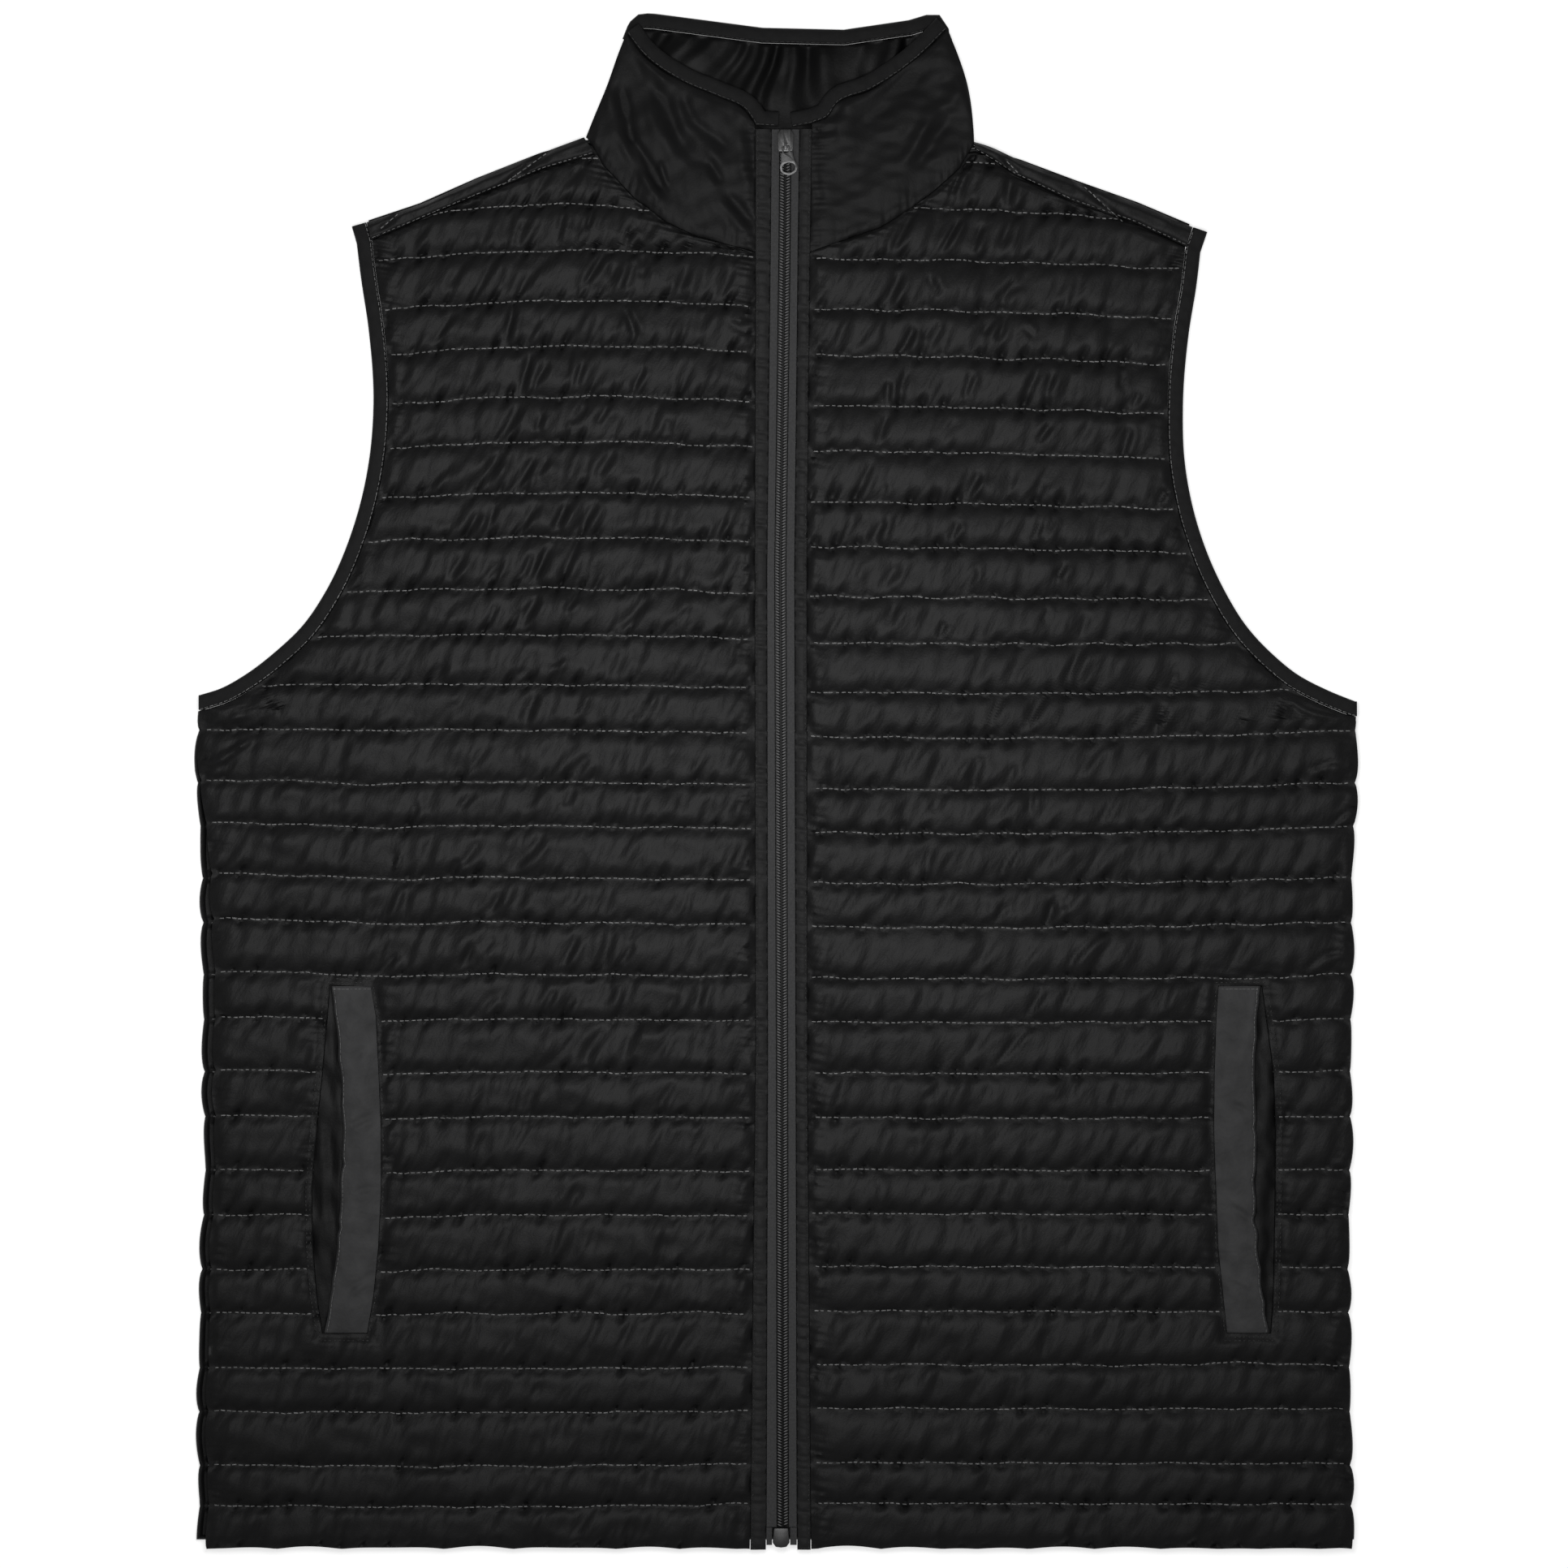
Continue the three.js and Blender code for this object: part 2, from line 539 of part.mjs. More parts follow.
// Padding is pressed flat beside a pocket's stitching.
function pocketPress(side, x, y) {
  const [bottom, top] = [POCKETS[0].y, POCKETS[POCKETS.length - 1].y];
  if (y < bottom - POCKET_PINCH || y > top + POCKET_PINCH) return 1;
  const mark = side === 'left' ? 'L' : 'R';
  const edges = [read(POCKETS, 'y', y, 'outer' + mark), read(POCKETS, 'y', y, 'sewn' + mark)];
  const low = Math.min(...edges) - POCKET_PINCH;
  const high = Math.max(...edges) + POCKET_PINCH;
  return x > low && x < high ? POCKET_PRESSED : 1;
}

// A front's rows of outer points, from the hem up to the shoulder tip.
function frontRows(side) {
  return rowHeights(side).map((level) => {
    const phase = phaseAt(level);
    const outer = outerEdgeX(side, level - drop(side, level, 0), phase);
    const inner = innerEdgeX(side, level - drop(side, level, 1));
    const width = inner - outer;
    const inset = Math.min(EDGE_INSET / Math.abs(width), 0.25);
    const shares = [0, inset, ...FRONT_SHARES[side], 1 - inset, 1];
    return shares.map((share) => {
      const x = outer + width * share;
      const y = level - drop(side, level, share);
      const inside = share > 0 && share < 1 ? 1 : 0;
      const puff = PUFF_HEIGHT * fullness(phase) * inside * pocketPress(side, x, y);
      return new THREE.Vector3(x, y, FRONT_FLOOR + STITCHED_THICKNESS + puff);
    });
  });
}

// Body

const LEVELS = rowLevels();
const ARMHOLE_SEAM = {};
for (const side of SIDE_NAMES) {
  const outer = smooth(sidePoints(ARMHOLE, side), ARMHOLE_STEPS);
  ARMHOLE_SEAM[side] = moved(outer, INWARD[side] * BINDING_WIDTH);
}

// The line where a front meets the armhole's binding: its own edge points, run out to the
// side seam and up to the shoulder's fold.
function armholeLine(side, rows) {
  const bottomY = ARMHOLE_SEAM[side][0].y;
  const topY = SHOULDER_SEAM[0][side + 'Y'];
  const own = rows.map((row) => row[0]).filter((p) => p.y > bottomY - 0.1 && p.y < topY + 0.1);
  const corner = new THREE.Vector3(read(SIDES, 'y', bottomY, side), bottomY, 0);
  return [corner, ...own, sidePoints(SHOULDER_FOLD, side)[0]];
}

// A front's neck edge from the zip up, with the shoulder's end of the collar added.
function neckLine(side, rows) {
  const bottomY = NECKLINE[0][side + 'Y'];
  const own = rows.map((row) => row[row.length - 1]).filter((p) => p.y > bottomY - 0.1);
  return [...own, sidePoints(NECKLINE, side).at(-1), sidePoints(COLLAR_FOLD, side)[0]];
}

// The prism that a pocket's opening cuts through a front.
function pocketCutter(side) {
  const mark = side === 'left' ? 'L' : 'R';
  const outer = POCKETS.map((row) => new THREE.Vector2(row['outer' + mark], row.y));
  const sewn = POCKETS.map((row) => new THREE.Vector2(row['sewn' + mark], row.y));
  return solidOf(extruded([...outer, ...sewn.reverse()], 0, 40));
}

function buildFront(side, rows) {
  const whole = solidOf(patch(rows, FRONT_FLOOR));
  add('front_' + side, geometryOf(whole.subtract(pocketCutter(side))), 'shell');
}

// The dark pocket layer seen in the opening, and the welt that half covers it.
function buildPocket(side) {
  const mark = side === 'left' ? 'L' : 'R';
  const inwards = -OUT_X[side];
  const layerTop = FRONT_FLOOR + POCKET_LAYER_THICKNESS;
  const weltFloor = layerTop + SEAM_GAP;
  const inner = [];
  const welt = [];
  POCKETS.forEach((row, i) => {
    const atEnd = i === 0 ? 1 : i === POCKETS.length - 1 ? -1 : 0;
    const y = row.y + atEnd * SEAM_GAP;
    const outerX = row['outer' + mark] + inwards * SEAM_GAP;
    const freeX = row['free' + mark] + inwards * SEAM_GAP;
    const sewnX = row['sewn' + mark] - inwards * SEAM_GAP;
    inner.push([0, 0.5, 1].map((share) => new THREE.Vector3(
      THREE.MathUtils.lerp(outerX, sewnX, share), y, layerTop)));
    welt.push(WELT_LIFTS.map((lift, c) => new THREE.Vector3(
      THREE.MathUtils.lerp(freeX, sewnX, c / (WELT_LIFTS.length - 1)), y,
      weltFloor + lift * WELT_THICKNESS)));
  });
  add('pocket_layer_' + side, patch(inner, FRONT_FLOOR), 'lining');
  add('pocket_welt_' + side, patch(welt, weltFloor), 'welt');
}

// The part of the back that comes forward over a shoulder, between its fold and the seam.
function buildShoulder(side, rows) {
  const topY = SHOULDER_SEAM[0][side + 'Y'];
  const own = rows.map((row) => row[0]).filter((p) => p.y > topY - 0.1);
  const seam = moved([...own, sidePoints(SHOULDER_SEAM, side).at(-1)], -INWARD[side] * SEAM_GAP);
  const fold = new THREE.CatmullRomCurve3(sidePoints(SHOULDER_FOLD, side));
  const strip = seam.map((from, i) => {
    const to = fold.getPoint(i / (seam.length - 1));
    return SHOULDER_PROFILE.map(({ share, lift }) => from.clone().lerp(to, share)
      .setZ(FRONT_FLOOR + lift * SHOULDER_THICKNESS));
  });
  add('back_shoulder_' + side, patch(strip, FRONT_FLOOR), 'shell');
}

// The back's outline runs up a side with the channels' puffs, round the armhole's seam line
// and along the shoulder's fold.
function backSide(side, line) {
  const bottomY = line[0].y;
  const steps = LEVELS.slice(0, -1).flatMap((low, i) => [0, 0.5].map((phase) => ({
    y: HEM_Y + THREE.MathUtils.lerp(low, LEVELS[i + 1], phase),
    out: SIDE_PUFF * fullness(phase),
  })));
  const isClear = ({ y }) => y > BACK_HEM_Y + BACK_CORNER_CLEARANCE
    && y < bottomY - BACK_CORNER_CLEARANCE;
  const seam = steps.filter(isClear).map(({ y, out }) => (
    new THREE.Vector3(read(SIDES, 'y', y, side) + OUT_X[side] * out, y, 0)));
  const corner = new THREE.Vector3(read(SIDES, 'y', BACK_HEM_Y, side), BACK_HEM_Y, 0);
  return [corner, ...seam, ...line, ...sidePoints(SHOULDER_FOLD, side).slice(1, -1)];
}

function buildBack(lines) {
  const neck = BACK_NECK.map((p) => new THREE.Vector3(p.x, p.y, 0));
  const right = backSide('right', lines.right);
  const left = backSide('left', lines.left);
  const outline = [...right, ...[...neck].reverse(), ...left.reverse()];
  add('back_panel', layer(flat(outline), 0, BACK_THICKNESS), 'shell');
}

// Collar

// A soft ridge or crease over a patch: its height at a point beside the line of the fold.
function foldHeight(folds, x, y) {
  return folds.reduce((sum, fold) => {
    const length = Math.hypot(fold.toX - fold.x, fold.toY - fold.y);
    const ways = [(fold.toX - fold.x) / length, (fold.toY - fold.y) / length];
    const along = ((x - fold.x) * ways[0] + (y - fold.y) * ways[1]) / length;
    const aside = (x - fold.x) * ways[1] - (y - fold.y) * ways[0];
    if (along < 0 || along > 1) return sum;
    return sum + fold.height * Math.sin(Math.PI * along) * Math.exp(-((aside / fold.width) ** 2));
  }, 0);
}

// One side of the front collar, with the binding along its upper edge.
function buildCollarFront(side, neck) {
  const bottom = moved(neck, INWARD[side] * SEAM_GAP).reverse();
  const top = new THREE.CatmullRomCurve3(sidePoints(COLLAR_TOP, side));
  const fold = new THREE.CatmullRomCurve3(sidePoints(COLLAR_FOLD, side));
  const [foldStart, foldEnd] = [fold.getPoint(0), fold.getPoint(1)];
  const rows = COLLAR_ROW_SHARES.map((u) => bottom.map((from, i) => {
    const v = i / (bottom.length - 1);
    const bulge = fold.getPointAt(u).sub(foldStart.clone().lerp(foldEnd, u));
    const point = from.clone().lerp(top.getPointAt(v), u).addScaledVector(bulge, 1 - v);
    if (v === 1) point.x = read(ZIP, 'y', point.y, side) + OUT_X[side] * SEAM_GAP;
    const atEdge = u === 0 || u === 1 || v === 0 || v === 1;
    const lift = atEdge ? COLLAR_EDGE_LIFT * COLLAR_THICKNESS
      : COLLAR_THICKNESS + foldHeight(COLLAR_CREASES, point.x, point.y);
    return point.setZ(FRONT_FLOOR + lift);
  }));
  add('collar_front_' + side, patch(rows, FRONT_FLOOR, true), 'lining');
  const line = [...rows.at(-1), ...sidePoints(BINDING_END, side)];
  const binding = band(line, BINDING_WIDTH, FRONT_FLOOR, BINDING_THICKNESS, -INWARD[side]);
  add('collar_binding_' + side, binding, 'binding');
}

function buildCollarBack() {
  const edge = moved(COLLAR_BACK_TOP.map((p) => new THREE.Vector3(p.x, p.y, 0)), -BINDING_WIDTH);
  const neck = moved(BACK_NECK.map((p) => new THREE.Vector3(p.x, p.y, 0)), SEAM_GAP);
  const right = sidePoints(COLLAR_FOLD, 'right').slice(0, -1);
  const left = sidePoints(COLLAR_FOLD, 'left').slice(0, -1);
  const outline = [...neck, ...right, ...[...edge].reverse(), ...left.reverse()];
  add('collar_back', layer(flat(outline), 0, COLLAR_BACK_THICKNESS), 'lining');
  const shaped = band(edge, BINDING_WIDTH, 0, COLLAR_BACK_THICKNESS, 1);
  add('collar_binding_back', shaped, 'binding');
}

function flat(points) {
  return points.map((p) => new THREE.Vector2(p.x, p.y));
}

// Zip

// A strip beside or along the zip, between two columns of places worked out at each height.
function zipStrip(bottomY, topY, edges, lifts, floor, thickness) {
  const count = Math.max(Math.round((topY - bottomY) / ZIP_STEP), 2);
  const rows = [];
  for (let i = 0; i <= count; i += 1) {
    const y = THREE.MathUtils.lerp(bottomY, topY, i / count);
    const [from, to] = edges(y);
    rows.push(lifts.map((lift, c) => new THREE.Vector3(
      THREE.MathUtils.lerp(from, to, c / (lifts.length - 1)), y, floor + lift * thickness)));
  }
  return patch(rows, floor);
}

function buildZipSide(side) {
  const inwards = -OUT_X[side];
  const at = (column, y) => read(ZIP, 'y', y, column);
  const placket = (y) => [at(side, y), at(side + 'In', y)];
  const tape = (y) => [at(side + 'In', y) + inwards * SEAM_GAP,
    at('middle', y) - inwards * (CHAIN_HALF + SEAM_GAP)];
  add('zip_placket_' + side, zipStrip(HEM_Y - 0.5, PLACKET_TOP_Y, placket,
    PLACKET_LIFTS, FRONT_FLOOR, PLACKET_THICKNESS), 'shell');
  add('zip_tape_' + side, zipStrip(ZIP_BOTTOM_Y + SEAM_GAP, PLACKET_TOP_Y, tape,
    TAPE_LIFTS, CHAIN_FLOOR, TAPE_THICKNESS), 'tape');
  const film = (y) => [at(side + 'In', y) + inwards * SEAM_GAP,
    side === 'left' ? RETAINER.left - SEAM_GAP : RETAINER.right + SEAM_GAP];
  add('zip_film_' + side, zipStrip(FILM_BOTTOM_Y, ZIP_BOTTOM_Y, film,
    FILM_LIFTS, CHAIN_FLOOR, TAPE_THICKNESS), 'tape');
}

function buildChain() {
  const top = SLIDER.top - SLIDER.postLength - SEAM_GAP;
  const edges = (y) => [read(ZIP, 'y', y, 'middle') - CHAIN_HALF,
    read(ZIP, 'y', y, 'middle') + CHAIN_HALF];
  add('zip_chain', zipStrip(ZIP_BOTTOM_Y + SEAM_GAP, top, edges,
    CHAIN_LIFTS, CHAIN_FLOOR, CHAIN_HEIGHT), 'zip');
}

function buildRetainer() {
  const { left, right, top, bottom } = RETAINER;
  const round = RETAINER_ROUNDING;
  const outline = [
    new THREE.Vector2(left + round.top, top),
    new THREE.Vector2(right - round.top, top),
    new THREE.Vector2(right, bottom + round.side),
    new THREE.Vector2(right - round.foot, bottom + round.footRise),
    new THREE.Vector2((left + right) / 2, bottom),
    new THREE.Vector2(left + round.foot, bottom + round.footRise),
    new THREE.Vector2(left, bottom + round.side),
  ];
  add('zip_retainer', extruded(outline, FRONT_FLOOR, RETAINER.height), 'zip');
}

function block(x0, x1, y0, y1, z0, z1) {
  const geometry = new THREE.BoxGeometry(x1 - x0, y1 - y0, z1 - z0);
  return solidOf(geometry.translate((x0 + x1) / 2, (y0 + y1) / 2, (z0 + z1) / 2));
}

// The slider: two plates round the chain, joined by the post at its nose, with the bridge
// that the pull tab's eye is caught under.
function buildSlider() {
  const { x, top, bottom, postLength } = SLIDER;
  const outline = SLIDER_OUTLINE.map((p) => new THREE.Vector2(x + p.x, p.y));
  const mirrored = SLIDER_OUTLINE.map((p) => new THREE.Vector2(x - p.x, p.y)).reverse();
  const plate = [...outline, ...mirrored];
  const topFloor = SLIDER_TOP_Z - SLIDER_PLATE;
  const flangeFrom = CHAIN_HALF + SEAM_GAP;
  const flangeTo = flangeFrom + SLIDER_FLANGE.width;
  const { half, noseInset } = SLIDER_POST;
  const nose = SLIDER_NOSE;
  const pieces = [
    solidOf(extruded(plate, topFloor, SLIDER_PLATE)),
    solidOf(extruded(plate, FRONT_FLOOR, SLIDER_PLATE)),
    block(x - half, x + half, top - postLength, top - noseInset, FRONT_FLOOR + WELD,
      SLIDER_TOP_Z - WELD),
    block(x - nose.half, x + nose.half, BRIDGE.top - 2 * WELD, top - nose.inset,
      SLIDER_TOP_Z - WELD, SLIDER_TOP_Z + nose.rise),
  ];
  for (const way of [-1, 1]) {
    pieces.push(block(x + Math.min(way * flangeFrom, way * flangeTo),
      x + Math.max(way * flangeFrom, way * flangeTo), bottom + SLIDER_FLANGE.bottomInset,
      top - SLIDER_FLANGE.topInset, CHAIN_FLOOR + TAPE_THICKNESS + SEAM_GAP, SLIDER_TOP_Z - WELD));
  }
  const bridgeTop = SLIDER_TOP_Z + BRIDGE.clear + BRIDGE.thickness;
  const arch = block(x - BRIDGE.half, x + BRIDGE.half, BRIDGE.bottom, BRIDGE.top,
    SLIDER_TOP_Z - WELD, bridgeTop);
  const hollow = block(x - 2 * BRIDGE.half, x + 2 * BRIDGE.half, BRIDGE.bottom + BRIDGE.foot,
    BRIDGE.top - BRIDGE.foot, SLIDER_TOP_Z, SLIDER_TOP_Z + BRIDGE.clear);
  pieces.push(arch.subtract(hollow));
  add('zip_slider', geometryOf(pieces.reduce((sum, piece) => sum.add(piece))), 'zip');
}

// The pull tab lies from its hinge towards the hem: an eye, a neck and a plain ring.
function buildPullTab() {
  const half = TAB.thickness / 2;
  const { narrowing, ringInset, ringRise, armOverlap } = TAB_SHOULDER;
  const bar = new THREE.CylinderGeometry(HINGE.radius, HINGE.radius, 2 * TAB.armOut, 12);
  const neck = [
    new THREE.Vector2(-TAB.neckHalf + narrowing, -TAB.neckStart),
    new THREE.Vector2(TAB.neckHalf - narrowing, -TAB.neckStart),
    new THREE.Vector2(TAB.neckHalf, -TAB.neckEnd),
    new THREE.Vector2(TAB_RING.outerX - ringInset, -TAB_RING.centre + ringRise),
    new THREE.Vector2(-TAB_RING.outerX + ringInset, -TAB_RING.centre + ringRise),
    new THREE.Vector2(-TAB.neckHalf, -TAB.neckEnd),
  ].reverse();
  const oval = (halfX, halfY) => new THREE.EllipseCurve(0, -TAB_RING.centre, halfX, halfY)
    .getPoints(TAB_RING_SIDES).slice(0, -1);
  const ring = solidOf(extruded(oval(TAB_RING.outerX, TAB_RING.outerY), -half, TAB.thickness));
  const hole = solidOf(extruded(oval(TAB_RING.holeX, TAB_RING.holeY), -2, 4));
  const pieces = [
    solidOf(bar.rotateZ(Math.PI / 2)),
    block(-TAB.armOut, -TAB.armIn, -TAB.neckStart - armOverlap, 0, -half, half),
    block(TAB.armIn, TAB.armOut, -TAB.neckStart - armOverlap, 0, -half, half),
    solidOf(extruded(neck, -half, TAB.thickness)),
    ring,
  ];
  const tab = pieces.reduce((sum, piece) => sum.add(piece)).subtract(hole);
  const mesh = add('zip_pull_tab', geometryOf(tab), 'zip');
  mesh.position.set(HINGE.x, HINGE.y, HINGE.z);
  mesh.rotation.set(TAB_DROOP, 0, TAB_TURN, 'ZYX');
}

const lines = {};
for (const side of SIDE_NAMES) {
  const rows = frontRows(side);
  lines[side] = armholeLine(side, rows);
  const outward = -INWARD[side];
  buildFront(side, rows);
  buildPocket(side);
  buildShoulder(side, rows);
  buildCollarFront(side, neckLine(side, rows));
  buildZipSide(side);
  add('armhole_binding_front_' + side, band(lines[side], BINDING_WIDTH, FRONT_FLOOR,
    BINDING_THICKNESS, outward), 'binding');
  add('armhole_binding_back_' + side, band(lines[side], BINDING_WIDTH, 0,
    BACK_THICKNESS - 0.4, outward), 'binding');
}
buildBack(lines);
buildCollarBack();
buildChain();
buildRetainer();
buildSlider();
buildPullTab();

export default vest;
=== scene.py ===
# A quilted vest laid flat, front up: its cloth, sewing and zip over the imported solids.
# The outlines' tables repeat the part's own, in millimetres; meshes are made in metres. +X runs to
# the right as the vest lies, +Y towards its collar, +Z up. Left and right are as seen from above.
import json
import math

import bmesh
import bpy
import numpy as np
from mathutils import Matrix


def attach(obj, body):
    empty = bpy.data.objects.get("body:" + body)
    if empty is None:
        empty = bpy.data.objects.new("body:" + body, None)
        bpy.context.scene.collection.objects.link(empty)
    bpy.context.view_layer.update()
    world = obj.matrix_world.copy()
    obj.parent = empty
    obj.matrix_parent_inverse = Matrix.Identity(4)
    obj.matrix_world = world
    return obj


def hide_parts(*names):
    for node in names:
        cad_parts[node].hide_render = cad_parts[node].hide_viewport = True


MM = 0.001
IMAGE_SIZE = 1932
PIXEL_MM = 0.42
# The point the camera looks straight down at: the picture's centre
VIEW_X, VIEW_Y, VIEW_FOCUS_Z = 4.0, -0.2, 6.0
SIDE_NAMES = ("left", "right")
OUT_X = {"left": -1, "right": 1}
# The first random seed of each kind of piece, for the left and the right one
SEEDS = {"front": (11, 41), "rows": (21, 51), "armhole": (91, 92), "armhole_under": (93, 94),
         "shoulder": (101, 102), "collar": (111, 121), "pocket": (141, 151), "placket": (161, 171)}

# Driving dimensions of the solids
SEAM_GAP = 0.3
BACK_THICKNESS = 4.0
FRONT_FLOOR = BACK_THICKNESS + SEAM_GAP
EDGE_INSET = 4.0
BINDING_WIDTH = 8.0
BINDING_THICKNESS = 2.8
COLLAR_THICKNESS = 2.6
COLLAR_BACK_THICKNESS = 3.6
SHOULDER_THICKNESS = 4.2
SIDE_PUFF = 1.4
HEM_Y = -396.0
BACK_HEM_Y = -391.5
SHOULDER_TIP_Y = 325.5
# How far a front's side edge lies inside the outline: y, left, right
FRONT_INSET = np.array([
    (-396, 5, 1), (-200, 5.5, 0.8), (-90, 6.5, 0.8), (-45, 5, 0.5), (0, 2.2, 0.5), (40, 1, 0.5),
])

# How fine the cloth's grids are
ROW_STEP = 1.42
BACK_ROW_STEP = 2.6
BACK_COLUMN_STEP = 3.4
STRIP_STEP = 1.3

# Sewing
STITCH_PITCH = 3.15
STITCH_LENGTH = 2.55
THREAD_WIDTH = 0.58

# Side seams at the outline: y, left, right
SIDES = np.array([
    (-396, -300.5, 299.5), (-371, -299, 298), (-313, -299.5, 297.5), (-254, -298, 296.5),
    (-195, -296, 297.5), (-120, -297, 298), (-44, -297.5, 298.5), (6, -300.5, 300.5),
    (46, -298.5, 300.5),
])
# Lines of each side: leftX, leftY, rightX, rightY
ARMHOLE = np.array([
    (-299.5, 45.5, 301, 42), (-287, 49.5, 285, 48.5), (-277, 55, 269, 57),
    (-259, 68.5, 258.5, 65.5), (-245, 82, 243, 82), (-233.5, 99, 232.5, 99),
    (-219, 132.5, 218.5, 132.5), (-211, 166, 211.5, 166), (-208.5, 197, 210.5, 195),
    (-211, 235, 213.5, 233), (-215, 262, 217.5, 258), (-218, 287, 220.5, 285),
])
SHOULDER_SEAM = np.array([
    (-209.5, 281, 212, 277.5), (-169.5, 298, 185, 290), (-142, 309, 153, 301),
    (-121, 317.5, 124, 314.5), (-94, 325.5, 105, 327),
])
SHOULDER_FOLD = np.array([
    (-212, 290.5, 215.5, 288), (-182.5, 300.5, 185, 301), (-153.5, 313.5, 153, 312.5),
    (-121, 326.5, 124, 323.5), (-99.5, 334.5, 106, 329.5),
])
NECKLINE = np.array([
    (-10.6, 275, 17.3, 275), (-41, 283, 53.5, 287.5), (-57, 290.5, 68, 296.5),
    (-73, 302.5, 81, 306), (-89.5, 320, 95, 318.5), (-94, 327.5, 104, 329),
])
COLLAR_FOLD = np.array([
    (-98.5, 334.5, 102.5, 330.5), (-94.5, 344.5, 102, 340), (-87.5, 361.5, 99, 361.5),
    (-81.5, 378.5, 93.5, 378.5), (-77.5, 388.5, 88.5, 390.5),
])
COLLAR_TOP = np.array([
    (-77.5, 388.5, 88.5, 390.5), (-69.5, 378, 73, 375.5), (-49, 363.5, 48.5, 359),
    (-30, 355.4, 31.5, 351.8), (-16.5, 349, 26.8, 345.2), (-10.6, 340.5, 18.3, 341.5),
])
BINDING_END = np.array([(0.8, 339.8, 8.6, 339.6)])
COLLAR_BACK_TOP = np.array([
    (-79.6, 386), (-76.5, 393.5), (-71.5, 398.5), (-63, 398.8), (-49, 397), (-7, 391.5), (35, 390.5),
    (69, 395.5), (83, 398.8), (88.5, 391.5), (91, 385.5),
])
BACK_NECK = np.array([(-95.5, 333), (-60, 324), (4, 319.5), (64, 323), (103, 329)])
# How far the rows hang: y, then side, middle and zip of the left and of the right front
DRAPE = np.array([
    (-396, 0, 0, 0, 0, 0, 0), (-374, -0.5, 0.5, -1.2, -1.6, -1.2, -1),
    (-221, 0, 0, 0.5, 0, 0.5, 0.5), (-46, -2, 0, 1.5, 2.5, 3, -0.5), (30, 0, 0, 1.8, 3, 4, 0),
    (46, 0.5, 0, 1.9, 3.3, 4.3, 2.5),
    (129, 2.5, 0, 2.5, 4.5, 5.5, 8), (300, 6, 0, 3.5, 4.2, 6, 10), (326, 0, 0, 0, 0, 0, 0),
])
# The zip: y, left, leftIn, middle, rightIn, right
ZIP = np.array([
    (-396, -13.4, -5.4, 3.4, 10.9, 17.8), (-140, -10.6, -4.6, 3, 10.3, 16),
    (111, -11, -5, 2.1, 9.6, 15.6), (276, -10.6, -3.2, 4.3, 11.4, 17.3),
    (342, -10.6, -2.6, 4.8, 12.2, 18.3),
])
ZIP_COLUMN = {"left": 1, "leftIn": 2, "middle": 3, "rightIn": 4, "right": 5}
ZIP_BOTTOM_Y = -385.0
PLACKET_TOP_Y = 338.8
CHAIN_HALF = 2.8
CHAIN_FLOOR = 5.2
CHAIN_TOP_Y = 334.0
TAPE_THICKNESS = 1.0
PLACKET_THICKNESS = 2.6
TOOTH_PITCH = 1.5
# The pockets: y, outerL, freeL, sewnL, sewnR, freeR, outerR
POCKETS = np.array([
    (-284.5, -235, -234.2, -211.5, 233, 255.2, 256), (-265, -238, -231.3, -208.2, 231, 252.8, 257.3),
    (-240, -240, -228.1, -205.7, 228.4, 250, 257.8), (-210, -240.5, -226.2, -204.3, 227.3, 248.3, 258.3),
    (-180, -238, -224.7, -204.3, 226.2, 249, 258.5), (-150, -235, -226.3, -205.5, 226.5, 247.8, 257.5),
    (-120, -232.3, -229, -207, 227.5, 249.8, 253.5), (-104.5, -231.2, -230.4, -209.5, 228.5, 250.5, 251.4),
])
POCKET_COLUMN = {"left": (1, 2, 3), "right": (6, 5, 4)}
POCKET_LAYER_THICKNESS = 1.0
WELT_THICKNESS = 3.0
POCKET_PINCH = 6.0
CREASE_DEPTH = 1.15
CREASE_RIDGE = 0.5
PUCKER_ABOVE = 1.45
PUCKER_BELOW = 1.3
ROW_WOBBLE = 0.28
HEM_WAVE = 0.7
# The quilting's rise between two rows, as its shading shows it, and how flat its middle is
PUFF_RISE = 2.5
PUFF_POWER = 3.0
# How high the stitched rows stand over the front's floor
ROW_HEIGHT = 2.6

# The stitched rows' heights. A scratch script found them as peaks of brightness in a strip of the
# photograph at this share of the way from the side seam to the zip.
ROW_SHARE = {"left": 0.66, "right": 0.93}
ROWS = {
    "left": [-396, -374, -353, -325.3, -302.6, -274.1, -251.4, -223.2, -200.1, -172.4, -149.3,
             -122, -98.9, -72, -48.9, -22.1, 0.6, 27.5, 51, 76.7, 100.6, 127.1, 150.2, 176.6,
             200.1, 226.2, 249.7, 275.7, 299.7, 323.6, 350],
    "right": [-396, -372.3, -351.3, -323.2, -300.5, -272.8, -249.7, -222.4, -199.7, -172.8,
              -149.7, -123.3, -100.6, -74.1, -51.5, -25.4, -2.7, 24.2, 47.3, 72.9, 96.8, 122.4,
              145.5, 172, 195.5, 221.6, 245.5, 271.5, 297.6, 321.5, 348],
}
